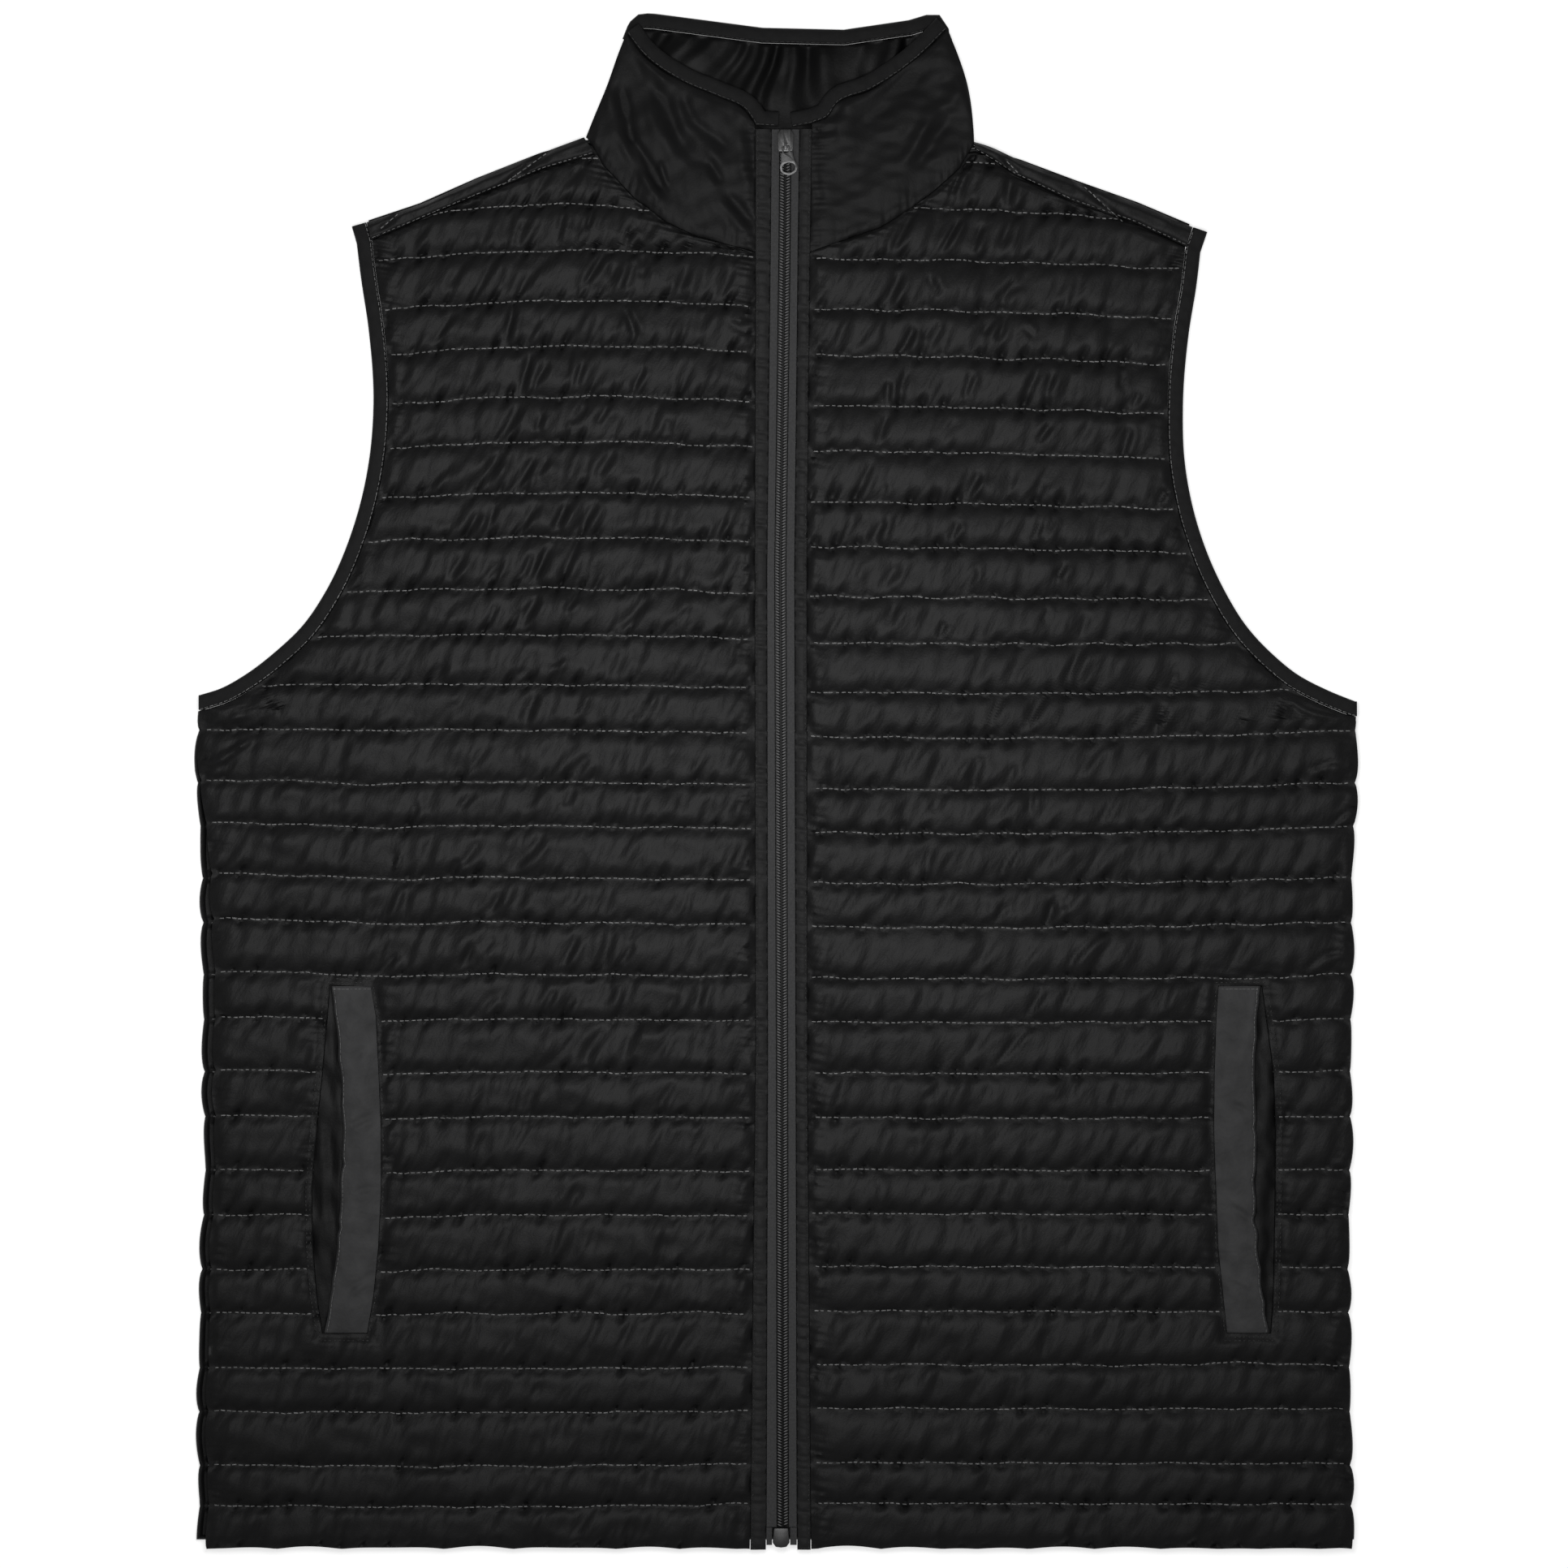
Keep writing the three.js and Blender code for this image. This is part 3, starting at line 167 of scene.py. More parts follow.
# The main creases of the fronts, most of them read off enlarged crops of the photograph:
# from x, y to x, y, half width, depth; a ridge where the depth is below 0
CREASES = {
    "left": [
        (-177, 228, -168, 242, 3, 0.9), (-140, 227, -136, 248, 3.5, 1.1), (-130, 227, -123, 240, 3, 0.8),
        (-73, 232, -78, 245, 3.5, 1.3), (-133, 201, -127, 223, 4, 1.4), (-126, 206, -118, 217, 3, 0.8),
        (-104, 206, -100, 217, 3, 0.8), (-74, 205, -68, 215, 3, 0.9), (-12, 232, -24, 238, 3.5, 0.9),
        (-144, 175, -133, 196, 5, 1.5), (-124, 183, -121, 191, 3, 1), (-106, 187, -99, 195, 4, 0.9),
        (-93, 187, -87, 195, 3, 0.7), (-57, 181, -56, 188, 4, 0.6), (-159, 151, -143, 169, 5.5, 1.6),
        (-135, 152, -126, 167, 4, 1.2), (-124, 160, -118, 168, 3, 0.8), (-93, 160, -84, 172, 4.5, 1.1),
        (-181, 153, -167, 166, 5, 0.8), (-162, 127, -154, 140, 4, 1.2), (-151, 128, -146, 143, 3, 0.9),
        (-133, 130, -125, 144, 4, 1.2), (-115, 132, -109, 144, 4, 1.2), (-101, 132, -93, 145, 4, 1.3),
        (-32, 127, -26, 137, 3, 0.9), (-169, 107, -161, 118, 4, 0.9), (-155, 101, -142, 115, 4, 0.9),
        (-131, 107, -127, 118, 3, 1), (-126, 104, -118, 122, 4, 1.3), (-111, 107, -102, 125, 4, 1.2),
        (-171, 87, -165, 96, 4, 0.7), (-150, 80, -145, 92, 3, 0.8), (-139, 79, -133, 89, 3, 0.9),
        (-133, 82, -123, 96, 4.5, 1.4), (-109, 90, -103, 97, 3, 1), (-81, 81, -65, 97, 5, 1),
        (-55, 80, -47, 89, 3, 0.8), (-177, 53, -172, 61, 4, 0.9), (-115, 61, -110, 66, 3, 0.8),
        (-138, 53, -130, 59, 3, 0.8), (-174, 30, -166, 42, 4, 0.7), (-131, 32, -124, 46, 4, 0.8),
        (-104, 37, -100, 48, 3, 0.8), (-79, 30, -74, 37, 3, 0.8), (-68, 42, -64, 49, 3, 0.7),
        (-160, 6, -148, 20, 4, 0.7), (-108, 3, -98, 14, 4.5, 1.2), (-181, 2, -177, 9, 3, 0.7),
        (-190, -21, -186, -11, 3.5, 1.2), (-163, -12, -156, -5, 3, 0.8), (-109, -11, -105, -3, 3.5, 1),
        (-170, -48, -165, -40, 3.5, 1.2), (-162, -42, -154, -30, 3.5, 0.8), (-136, -44, -120, -27, 5, 1.3),
        (-106, -46, -100, -34, 4, 0.9), (-150, -68, -142, -57, 3.5, 1.2), (-106, -62, -102, -54, 3, 0.7),
        (-162, -95, -157, -83, 3, 1.3), (-151, -88, -146, -80, 3, 0.7), (-110, -93, -103, -79, 3.5, 1),
        (-79, -92, -74, -84, 3, 0.9), (-155, -120, -146, -108, 3.5, 0.8), (-120, -116, -115, -107, 3.5, 1.2),
        (-110, -119, -105, -111, 3, 0.8), (-87, -113, -84, -106, 3, 0.6), (-61, -120, -52, -110, 5, 0.9),
        (-298, 9, -285, 12.5, 2.5, -0.9), (-286, 12, -271, 23.5, 2.5, -1), (-290, 15.5, -276, 23, 2.4, 0.8),
        (-283, 33.5, -272, 35.5, 2.5, -0.8), (-272, 36, -266, 45, 2.5, -0.9), (-263, 47, -257, 37, 2.5, 1.2),
        (-199.5, -46, -197, -36, 2.2, 1.2), (-205, -99, -197, -89, 2.4, 1.3),
        (-201, -72, -193.5, -55, 2.6, -0.8), (-207, -97, -200.5, -73, 2.5, -0.7),
    ],
    "right": [
        (57, 247, 65, 264, 4, 0.9), (84, 253, 79, 262, 3.5, 0.7), (115, 250, 124, 259, 4.5, 1),
        (115, 230, 119, 243, 3.5, 1), (66, 224, 71, 235, 3.5, 1.3), (76, 230, 83, 239, 3.5, 0.8),
        (107, 233, 114, 241, 3, 0.8), (133, 231, 128, 236, 3, 0.6), (57, 197, 58, 207, 3.5, 1.3),
        (62, 200, 67, 212, 3, 0.8), (97, 200, 101, 212, 3, 1), (126, 196, 135, 213, 3.5, 0.9),
        (138, 197, 143, 212, 3, 0.8), (178, 205, 179, 213, 3, 0.8), (184, 195, 188, 202, 3, 1),
        (53, 177, 57, 190, 3, 0.6), (82, 174, 92, 188, 4, 0.8), (135, 177, 141, 185, 3, 0.9),
        (178, 169, 183, 183, 3.5, 1.3), (97, 147, 105, 160, 4, 1.4), (53, 146, 57, 154, 3, 0.9),
        (131, 147, 138, 156, 3.5, 0.8), (197, 146, 202, 152, 3, 1.2), (49, 125, 56, 136, 3.5, 1.2),
        (90, 126, 94, 135, 3.5, 1), (131, 125, 137, 134, 3, 1), (139, 128, 144, 138, 3, 0.9),
        (53, 101, 63, 112, 5, 0.8), (97, 98, 103, 110, 3.5, 1), (145, 107, 150, 114, 3, 0.9),
        (84, 76, 87, 83, 3, 1), (138, 84, 141, 91, 3, 0.8), (157, 76, 161, 87, 3.5, 0.7),
        (287.5, -21, 298.5, -12, 2.6, 1.4), (278, 8, 289, 12, 2.5, 0.9), (288.7, 7, 299, 9.5, 2.5, -0.7),
        (273, -97, 284, -88, 3, 1.1), (284, -88, 293, -86, 3, 0.8), (259, 33, 266, 43, 2.5, -0.8),
        (267, 43, 272, 38, 2.5, -0.8), (272, 38, 285, 34, 3, -0.6), (257.5, 36, 262, 45, 2.2, 1),
        (194.5, 24, 201, 39, 2.4, 1.2), (201.5, 47.5, 207.4, 56.5, 2.5, 1.2), (239, 27, 242, 37, 2.5, 0.9),
    ],
}


def seed_of(kind, side):
    return SEEDS[kind][SIDE_NAMES.index(side)]


def read(table, at, column):
    """A column of a table between its rows, by its first column, which rises."""
    return np.interp(at, table[:, 0], table[:, column])


def side_points(table, side):
    first = 0 if side == "left" else 2
    return table[:, first:first + 2].astype(float)


def distances(line):
    """How far each point of a line is along it."""
    return np.concatenate([[0], np.cumsum(np.linalg.norm(np.diff(line, axis=0), axis=1))])


def smooth(points, count):
    """count + 1 points at even spacing along a smooth curve through the given ones."""
    p = np.asarray(points, float)
    at = distances(p)
    slope = np.gradient(p, at, axis=0)
    s = np.linspace(0, at[-1], 30 * len(p))
    i = np.clip(np.searchsorted(at, s, side="right") - 1, 0, len(p) - 2)
    h = (at[i + 1] - at[i])[:, None]
    u = (s - at[i])[:, None] / h
    line = ((2 * u**3 - 3 * u**2 + 1) * p[i] + (u**3 - 2 * u**2 + u) * h * slope[i]
            + (-2 * u**3 + 3 * u**2) * p[i + 1] + (u**3 - u**2) * h * slope[i + 1])
    return even(line, count)


def even(line, count):
    """count + 1 points at even spacing along a line of straight pieces."""
    line = np.asarray(line, float)
    at = distances(line)
    places = np.linspace(0, at[-1], count + 1)
    return np.stack([np.interp(places, at, line[:, k]) for k in range(line.shape[1])], axis=1)


def length_of(line):
    return float(np.linalg.norm(np.diff(np.asarray(line, float), axis=0), axis=1).sum())


def moved(line, distance):
    """The line moved sideways, to the left of its own direction when distance is positive."""
    line = np.asarray(line, float)
    along = np.empty_like(line)
    along[1:-1] = line[2:] - line[:-2]
    along[0] = line[1] - line[0]
    along[-1] = line[-1] - line[-2]
    along /= np.maximum(np.linalg.norm(along, axis=1), 1e-9)[:, None]
    return line + distance * np.stack([-along[:, 1], along[:, 0]], axis=1)


def waves(seed, size, count=7):
    """A smooth random height field over x, y of about unit spread, with waves of that size."""
    draw = np.random.default_rng(seed)
    turn = draw.uniform(0, 2 * math.pi, count)
    spread = size * draw.uniform(0.7, 1.6, count)
    shift = draw.uniform(0, 2 * math.pi, count)

    def height(x, y):
        total = 0.0
        for a, s, p in zip(turn, spread, shift):
            total = total + np.sin(2 * math.pi * (x * math.cos(a) + y * math.sin(a)) / s + p)
        return total / math.sqrt(count / 2)

    return height


def ripples(seed, size, count=6):
    """A smooth random height along one coordinate, of about unit spread."""
    draw = np.random.default_rng(seed)
    spread = size * draw.uniform(0.6, 1.7, count)
    shift = draw.uniform(0, 2 * math.pi, count)

    def height(u):
        total = 0.0
        for s, p in zip(spread, shift):
            total = total + np.sin(2 * math.pi * u / s + p)
        return total / math.sqrt(count / 2)

    return height


def folds_over(folds, x, y, ridges=0.0):
    """How deep soft creases press at each point: a trough along each line, gone at its ends,
    with a ridge of that share pushed up on its right."""
    total = np.zeros(x.shape)
    lowest, highest = y.min(axis=1), y.max(axis=1)
    for x0, y0, x1, y1, width, depth in folds:
        length = math.hypot(x1 - x0, y1 - y0)
        reach = 3 * width + 0.2 * length
        near = (highest > min(y0, y1) - reach) & (lowest < max(y0, y1) + reach)
        px, py = x[near], y[near]
        ax, ay = (x1 - x0) / length, (y1 - y0) / length
        along = ((px - x0) * ax + (py - y0) * ay) / length
        aside = (px - x0) * ay - (py - y0) * ax
        end = np.clip(np.minimum(along + 0.2, 1.2 - along) / 0.4, 0, 1)
        trough = np.exp(-((aside / (width * 0.55)) ** 2))
        ridge = ridges * np.exp(-(((aside - 1.15 * width) / (width * 0.6)) ** 2))
        total[near] += depth * end * end * (3 - 2 * end) * (trough - ridge)
    return total


def coons(bottom, top, left, right):
    """A grid between four lines that share their corners. Bottom and top run the same way."""
    across = np.linspace(0, 1, len(bottom))[None, :, None]
    up = np.linspace(0, 1, len(left))[:, None, None]
    ruled_up = (1 - up) * bottom[None] + up * top[None]
    ruled_across = (1 - across) * left[:, None] + across * right[:, None]
    corners = ((1 - up) * ((1 - across) * bottom[0] + across * bottom[-1])
               + up * ((1 - across) * top[0] + across * top[-1]))
    return ruled_up + ruled_across - corners


def strip_between(a, b, ys, shares):
    """A flat grid with a row at each y, from the x of a to the x of b at those shares."""
    x = a[:, None] * (1 - shares)[None] + b[:, None] * shares[None]
    return np.stack([x, ys[:, None] + 0 * x], axis=2)


def with_height(flat, height):
    return np.concatenate([flat, np.broadcast_to(height, flat.shape[:2])[..., None]], axis=2)


# Making objects

MATERIALS = {}


def place_mesh(mesh, material, body="vest", angle=50):
    """An object for a finished mesh, with its material, smooth below that edge angle, on its body."""
    obj = bpy.data.objects.new(mesh.name, mesh)
    bpy.context.scene.collection.objects.link(obj)
    mesh.materials.append(MATERIALS[material])
    mesh.polygons.foreach_set("use_smooth", [True] * len(mesh.polygons))
    if angle:
        mesh.set_sharp_from_angle(angle=math.radians(angle))
    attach(obj, body)
    return obj


def small_parts(name, vertices, faces, material):
    """One object of many small closed parts, such as stitches, from points in millimetres."""
    mesh = bpy.data.meshes.new(name)
    mesh.from_pydata((np.array(vertices) * MM).tolist(), [], faces)
    mesh.validate()
    mesh.update()
    return place_mesh(mesh, material, angle=None)


# From this length on, a direction of a piece counts as large when its cut is measured
LARGE_PIECE = 220


def measure_cut(points, floor, kept, turned):
    """Works out the flat size of the cloth that shows: how long its lines along and across it are when
    drawn flat, and its area. A narrow folded piece also has its turned edges. Nothing is returned or kept."""
    side = np.linalg.norm(np.diff(points, axis=1), axis=2)
    up = np.linalg.norm(np.diff(points, axis=0), axis=2)
    a = points[1:, :-1] - points[:-1, 1:]
    b = points[1:, 1:] - points[:-1, :-1]
    area = float((np.linalg.norm(np.cross(a, b), axis=2) / 2)[kept].sum())
    across = longest_way(side.sum(axis=1), points[:, -1] - points[:, 0])
    for column in turned:
        edge = points[:, column, 2] - floor
        across += float(edge.max())
        area += float(edge.mean() * up[:, column].sum())


def longest_way(lengths, spans):
    """A piece's length over the cloth in one direction. Where it is large it is the usual length
    of the lines whose ends lie farthest apart."""
    apart = np.linalg.norm(spans, axis=1)
    if apart.max() < LARGE_PIECE:
        return float(lengths.max())
    return float(np.median(lengths[apart > 0.97 * apart.max()]))


def closed_patch(name, points, floor, material, hole=None, angle=50, turned=(), rim_rings=None):
    """A patch of cloth: a grid of outer points, closed by side walls and one inner face.
    rim_rings gives the rings between the rim and the inner face, as points over each rim point."""
    rows, columns = points.shape[:2]
    kept = np.ones((rows - 1, columns - 1), bool)
    if hole:
        (r0, r1), (c0, c1) = hole
        kept[r0:r1, c0:c1] = False
    measure_cut(points, floor, kept, turned)
    index = np.arange(rows * columns).reshape(rows, columns)
    quads = np.stack([index[:-1, :-1], index[:-1, 1:], index[1:, 1:], index[1:, :-1]], axis=-1)[kept]
    edges = np.concatenate([quads[:, [i, (i + 1) % 4]] for i in range(4)])
    keys = {(a, b) for a, b in edges.tolist()}
    rim = [(a, b) for a, b in edges.tolist() if (b, a) not in keys]
    flat = points.reshape(-1, 3)
    rings = []
    extra = []
    for a, _ in rim:
        over = rim_rings(*divmod(a, columns)) if rim_rings else [(flat[a][0], flat[a][1], floor)]
        rings += [{} for _ in range(len(over) - len(rings))]
        for ring, place in zip(rings, over):
            ring[a] = len(flat) + len(extra)
            extra.append(place)
    walls = [(b, a, rings[0][a], rings[0][b]) for a, b in rim]
    for low, high in zip(rings[:-1], rings[1:]):
        walls += [(low[b], low[a], high[a], high[b]) for a, b in rim]
    lower = rings[-1]
    used = np.unique(quads)
    renumber = {int(v): i for i, v in enumerate(used)}
    for place in range(len(flat), len(flat) + len(extra)):
        renumber[place] = len(used) + (place - len(flat))
    vertices = np.concatenate([flat[used], np.array(extra)]) * MM
    faces = [[renumber[v] for v in quad] for quad in quads.tolist()]
    faces += [[renumber[v] for v in wall] for wall in walls]
    bm = bmesh.new()
    for v in vertices.tolist():
        bm.verts.new(v)
    bm.verts.ensure_lookup_table()
    for face in faces:
        bm.faces.new([bm.verts[i] for i in face])
    loops = [bm.edges.get((bm.verts[renumber[lower[a]]], bm.verts[renumber[lower[b]]])) for a, b in rim]
    bmesh.ops.triangle_fill(bm, use_beauty=False, use_dissolve=False, edges=loops)
    bmesh.ops.recalc_face_normals(bm, faces=bm.faces)
    mesh = bpy.data.meshes.new(name)
    bm.to_mesh(mesh)
    open_edges = sum(1 for e in bm.edges if len(e.link_faces) != 2)
    bm.free()
    if open_edges:
        print("open edges", name, open_edges)
    return place_mesh(mesh, material, angle=angle)


DASH_RING = [(-0.5, -0.28), (-0.5, 0.28), (0.5, 0.28), (0.5, -0.28)]


def dashes(name, places, material="thread"):
    """One mesh of short raised stitches. places are (x, y, z, way x, way y, length, width)."""
    vertices = []
    faces = []
    for x, y, z, ax, ay, length, width in places:
        first = len(vertices)
        vertices.append((x - ax * length / 2, y - ay * length / 2, z - width * 0.2))
        for along in (-0.38, 0.38):
            for aside, lift in DASH_RING:
                vertices.append((x + ax * along * length - ay * aside * width,
                                 y + ay * along * length + ax * aside * width,
                                 z + lift * width))
        vertices.append((x + ax * length / 2, y + ay * length / 2, z - width * 0.2))
        for i in range(4):
            j = (i + 1) % 4
            faces.append((first, first + 1 + j, first + 1 + i))
            faces.append((first + 1 + i, first + 1 + j, first + 5 + j, first + 5 + i))
            faces.append((first + 9, first + 5 + i, first + 5 + j))
    return small_parts(name, vertices, faces, material)


def stitches_along(line, heights, draw, pitch=STITCH_PITCH, length=STITCH_LENGTH,
                   width=THREAD_WIDTH, lift=0.16, slack=0.06):
    """Dashes at even pitch along a line, with heights at its points, each a little askew."""
    line = np.asarray(line, float)
    at = distances(line)
    places = np.arange(pitch * 0.6, at[-1] - pitch * 0.3, pitch)
    places = places + draw.uniform(-0.12, 0.12, len(places)) * pitch
    x, y = (np.interp(places, at, line[:, k]) for k in (0, 1))
    z = np.interp(places, at, heights)
    before, after = np.clip(places - 1, 0, at[-1]), np.clip(places + 1, 0, at[-1])
    dx = np.interp(after, at, line[:, 0]) - np.interp(before, at, line[:, 0])
    dy = np.interp(after, at, line[:, 1]) - np.interp(before, at, line[:, 1])
    turn = np.arctan2(dy, dx) + draw.normal(0, slack, len(places))
    size = length * draw.uniform(0.78, 1.12, len(places))
    wide = width * draw.uniform(0.8, 1.15, len(places))
    return [(x[i], y[i], z[i] + lift, math.cos(turn[i]), math.sin(turn[i]), size[i], wide[i])
            for i in range(len(places))]


def edge_stitches(name, grid, draw, thread, length=2.35):
    """The topstitching beside a bound edge, along the second line of its grid."""
    return dashes(name, stitches_along(grid[:, 1, :2], grid[:, 1, 2], draw, pitch=2.6,
                                       length=length, width=0.36, lift=0.22), thread)


# Materials


def cloth_material(name, colour, roughness, mottle, mottle_size, weave, relief, specular,
                   lean=False):
    """A woven cloth: an uneven colour, soft relief of that size and a fine weave in its bump.
    With lean set, the unevenness is drawn out along the slant of the creases."""
    material = bpy.data.materials.new(name)
    material.use_nodes = True
    tree = material.node_tree
    nodes, links = tree.nodes, tree.links
    shader = nodes["Principled BSDF"]
    place = nodes.new("ShaderNodeTexCoord").outputs["Object"]
    shader.inputs["Roughness"].default_value = roughness
    shader.inputs["Specular IOR Level"].default_value = specular
    slanted = place
    if lean:
        turn = nodes.new("ShaderNodeMapping")
        turn.vector_type = "TEXTURE"
        turn.inputs["Rotation"].default_value = (0, 0, math.radians(62))
        turn.inputs["Scale"].default_value = (2.6, 1, 1)
        links.new(place, turn.inputs["Vector"])
        slanted = turn.outputs["Vector"]
    broad = nodes.new("ShaderNodeTexNoise")
    broad.inputs["Scale"].default_value = 1 / (mottle_size * MM)
    broad.inputs["Detail"].default_value = 3
    links.new(slanted, broad.inputs["Vector"])
    ramp = nodes.new("ShaderNodeValToRGB")
    low = [c * (1 - mottle) for c in colour]
    high = [c * (1 + mottle) for c in colour]
    ramp.color_ramp.elements[0].color = (*low, 1)
    ramp.color_ramp.elements[1].color = (*high, 1)
    ramp.color_ramp.elements[0].position = 0.3
    ramp.color_ramp.elements[1].position = 0.7
    links.new(broad.outputs["Fac"], ramp.inputs["Fac"])
    links.new(ramp.outputs["Color"], shader.inputs["Base Color"])
    fine = nodes.new("ShaderNodeTexNoise")
    fine.inputs["Scale"].default_value = 1 / (0.9 * MM)
    fine.inputs["Detail"].default_value = 4
    links.new(place, fine.inputs["Vector"])
    bump = nodes.new("ShaderNodeBump")
    bump.inputs["Strength"].default_value = 1.0
    bump.inputs["Distance"].default_value = weave * MM
    links.new(fine.outputs["Fac"], bump.inputs["Height"])
    soft = nodes.new("ShaderNodeBump")
    soft.inputs["Strength"].default_value = 1.0
    soft.inputs["Distance"].default_value = relief * MM
    links.new(broad.outputs["Fac"], soft.inputs["Height"])
    links.new(bump.outputs["Normal"], soft.inputs["Normal"])
    links.new(soft.outputs["Normal"], shader.inputs["Normal"])
    MATERIALS[name] = material


def build_materials():
    cloth_material("shell", (0.006, 0.006, 0.0062), 0.5, 0.18, 5.5, 0.09, 0.6, 0.15, lean=True)
    cloth_material("collar", (0.0068, 0.0068, 0.007), 0.5, 0.12, 9, 0.08, 0.3, 0.1)
    # inside: a near-black that paints the shade of hollows onto the back collar's inside, the pocket's
    # inside and the cord under the zip's teeth
    cloth_material("inside", (0.0016, 0.0016, 0.0017), 0.42, 0.15, 9, 0.05, 0.2, 0.1)
    cloth_material("binding", (0.0108, 0.0108, 0.011), 0.65, 0.1, 4, 0.08, 0.3, 0.08)
    cloth_material("welt", (0.038, 0.038, 0.0388), 0.6, 0.2, 11, 0.08, 1.5, 0.12)
    cloth_material("tape", (0.046, 0.046, 0.047), 0.8, 0.15, 1.2, 0.12, 0.3, 0.15)
    cloth_material("zip", (0.011, 0.011, 0.0112), 0.32, 0.1, 3, 0.02, 0.05, 0.6)
    cloth_material("coil", (0.1, 0.1, 0.101), 0.4, 0.15, 1.5, 0.02, 0.05, 0.5)
    cloth_material("thread", (0.155, 0.155, 0.155), 0.55, 0.5, 4, 0.05, 0.2, 0.3)
    cloth_material("placket", (0.0128, 0.0128, 0.013), 0.6, 0.15, 4, 0.09, 0.4, 0.15)
    cloth_material("placket_thread", (0.028, 0.028, 0.028), 0.6, 0.5, 2.5, 0.05, 0.2, 0.2)
    # the light topstitching thread; the same colour also paints the highlight along the welts' pressed edges
    cloth_material("edge_thread_and_highlight", (0.15, 0.15, 0.15), 0.6, 0.4, 3.3, 0.05, 0.2, 0.2)
    cloth_material("collar_thread", (0.055, 0.055, 0.055), 0.6, 0.4, 3.3, 0.05, 0.2, 0.2)


# The fronts

def drop(side, y, share):
    """How far a row hangs at a share of the way from the side seam to the zip."""
    first = 1 if side == "left" else 4
    if side == "left":
        at_side, at_mid, at_zip = (read(DRAPE, y, first + k) for k in range(3))
    else:
        at_zip, at_mid, at_side = (read(DRAPE, y, first + k) for k in range(3))
    sag = (at_side * (1 - share) * (1 - 2 * share) + at_mid * 4 * share * (1 - share)
           + at_zip * share * (2 * share - 1))
    # the left front's rows dip beside the side seam; the right's give way to the pocket's ends
    if side == "left":
        fade = np.interp(y, [-300, -230, 0, 40], [0, 1, 1, 0])
        return sag + 1.8 * fade * np.exp(-(((share - 0.31) / 0.11) ** 2))
    fade = np.interp(y, [-330, -303, -280, -125, -99, -80], [0, -1.8, 0, 0, 1.4, 0])
    return sag + fade * np.exp(-(((share - 0.19) / 0.08) ** 2))


def row_y(side, t, share):
    """The height of row t at a share of the way from the side seam; whole t are stitched rows."""
    rows = ROWS[side]
    level = np.interp(t, np.arange(len(rows)), rows)
    return level - drop(side, level, share) + drop(side, level, ROW_SHARE[side])


def fullness(phase):
    """A channel's fullness from one stitched row to the next: steep by the rows, flat between."""
    return 1 - np.abs(2 * np.clip(phase, 0, 1) - 1) ** PUFF_POWER


ARMHOLE_SEAM = {}
for _side in SIDE_NAMES:
    _outer = smooth(side_points(ARMHOLE, _side), 120)
    ARMHOLE_SEAM[_side] = moved(_outer, OUT_X[_side] * BINDING_WIDTH)


def side_puff(side, y, phase):
    """How far a channel bulges past the side line, uneven from one channel to the next."""
    uneven = 1 + 0.5 * math.sin(y * 0.071 + (0 if side == "left" else 2))
    fade = min(max((44 - y) / 14, 0), 1)
    return fade * (SIDE_PUFF * uneven * math.sin(math.pi * min(max(phase, 0), 1)) ** 0.6 - 0.7)


def outer_edge_x(side, y, phase):
    """The x of a front's outer edge: side seam, armhole and shoulder seam in turn."""
    seam = ARMHOLE_SEAM[side]
    column = 1 if side == "left" else 2
    below = y < seam[0, 1] + 0.05
    puff = side_puff(side, y, phase) if below else 0
    inset = float(read(FRONT_INSET, y, column))
    side_seam = float(read(SIDES, y, column)) + OUT_X[side] * (puff - inset)
    if below:
        return side_seam
    shoulder = side_points(SHOULDER_SEAM, side)
    if y > shoulder[0, 1]:
        return float(np.interp(y, shoulder[:, 1], shoulder[:, 0]))
    armhole = float(np.interp(y, seam[:, 1], seam[:, 0]))
    return max(armhole, side_seam) if side == "left" else min(armhole, side_seam)


def inner_edge_x(side, y):
    """The x of a front's inner edge: beside the zip, then along the neckline."""
    neck = side_points(NECKLINE, side)
    if y > neck[0, 1]:
        return float(np.interp(y, neck[:, 1], neck[:, 0]))
    return float(read(ZIP, y, ZIP_COLUMN[side])) + OUT_X[side] * SEAM_GAP


def row_of(side, y, share):
    """The row parameter whose line passes height y at that share."""
    t = np.linspace(0, len(ROWS[side]) - 1, 4000)
    return float(np.interp(y, row_y(side, t, share), t))


def front_ts(side):
    """Row parameters of a front's grid: fine steps between the stitched rows, with the rows
    that pass the outline's corners and the pocket's ends."""
    rows = ROWS[side]
    ts = []
    for k in range(len(rows) - 1):
        step = ROW_STEP if rows[k + 1] < NECKLINE[0, 1] else ROW_STEP / 2
        steps = max(round((rows[k + 1] - rows[k]) / step), 2)
        ts += [k + i / steps for i in range(steps)]
    top = row_of(side, SHOULDER_TIP_Y - 0.3, 0.5)
    ts = [t for t in ts if t < top - 0.02] + [top]
    seam = ARMHOLE_SEAM[side]
    wanted = [row_of(side, seam[0, 1], 0), row_of(side, seam[0, 1] + 2.5, 0),
              row_of(side, side_points(SHOULDER_SEAM, side)[0, 1], 0),
              row_of(side, side_points(NECKLINE, side)[0, 1], 1),
              row_of(side, POCKETS[0, 0], 0.25), row_of(side, POCKETS[-1, 0], 0.25)]
    for t in wanted:
        free = [i for i, other in enumerate(ts) if abs(other - round(other)) > 0.004 and 0 < i < len(ts) - 1]
        nearest = min(free, key=lambda i: abs(ts[i] - t))
        ts[nearest] = t
    return np.array(sorted(ts)), wanted[4], wanted[5]


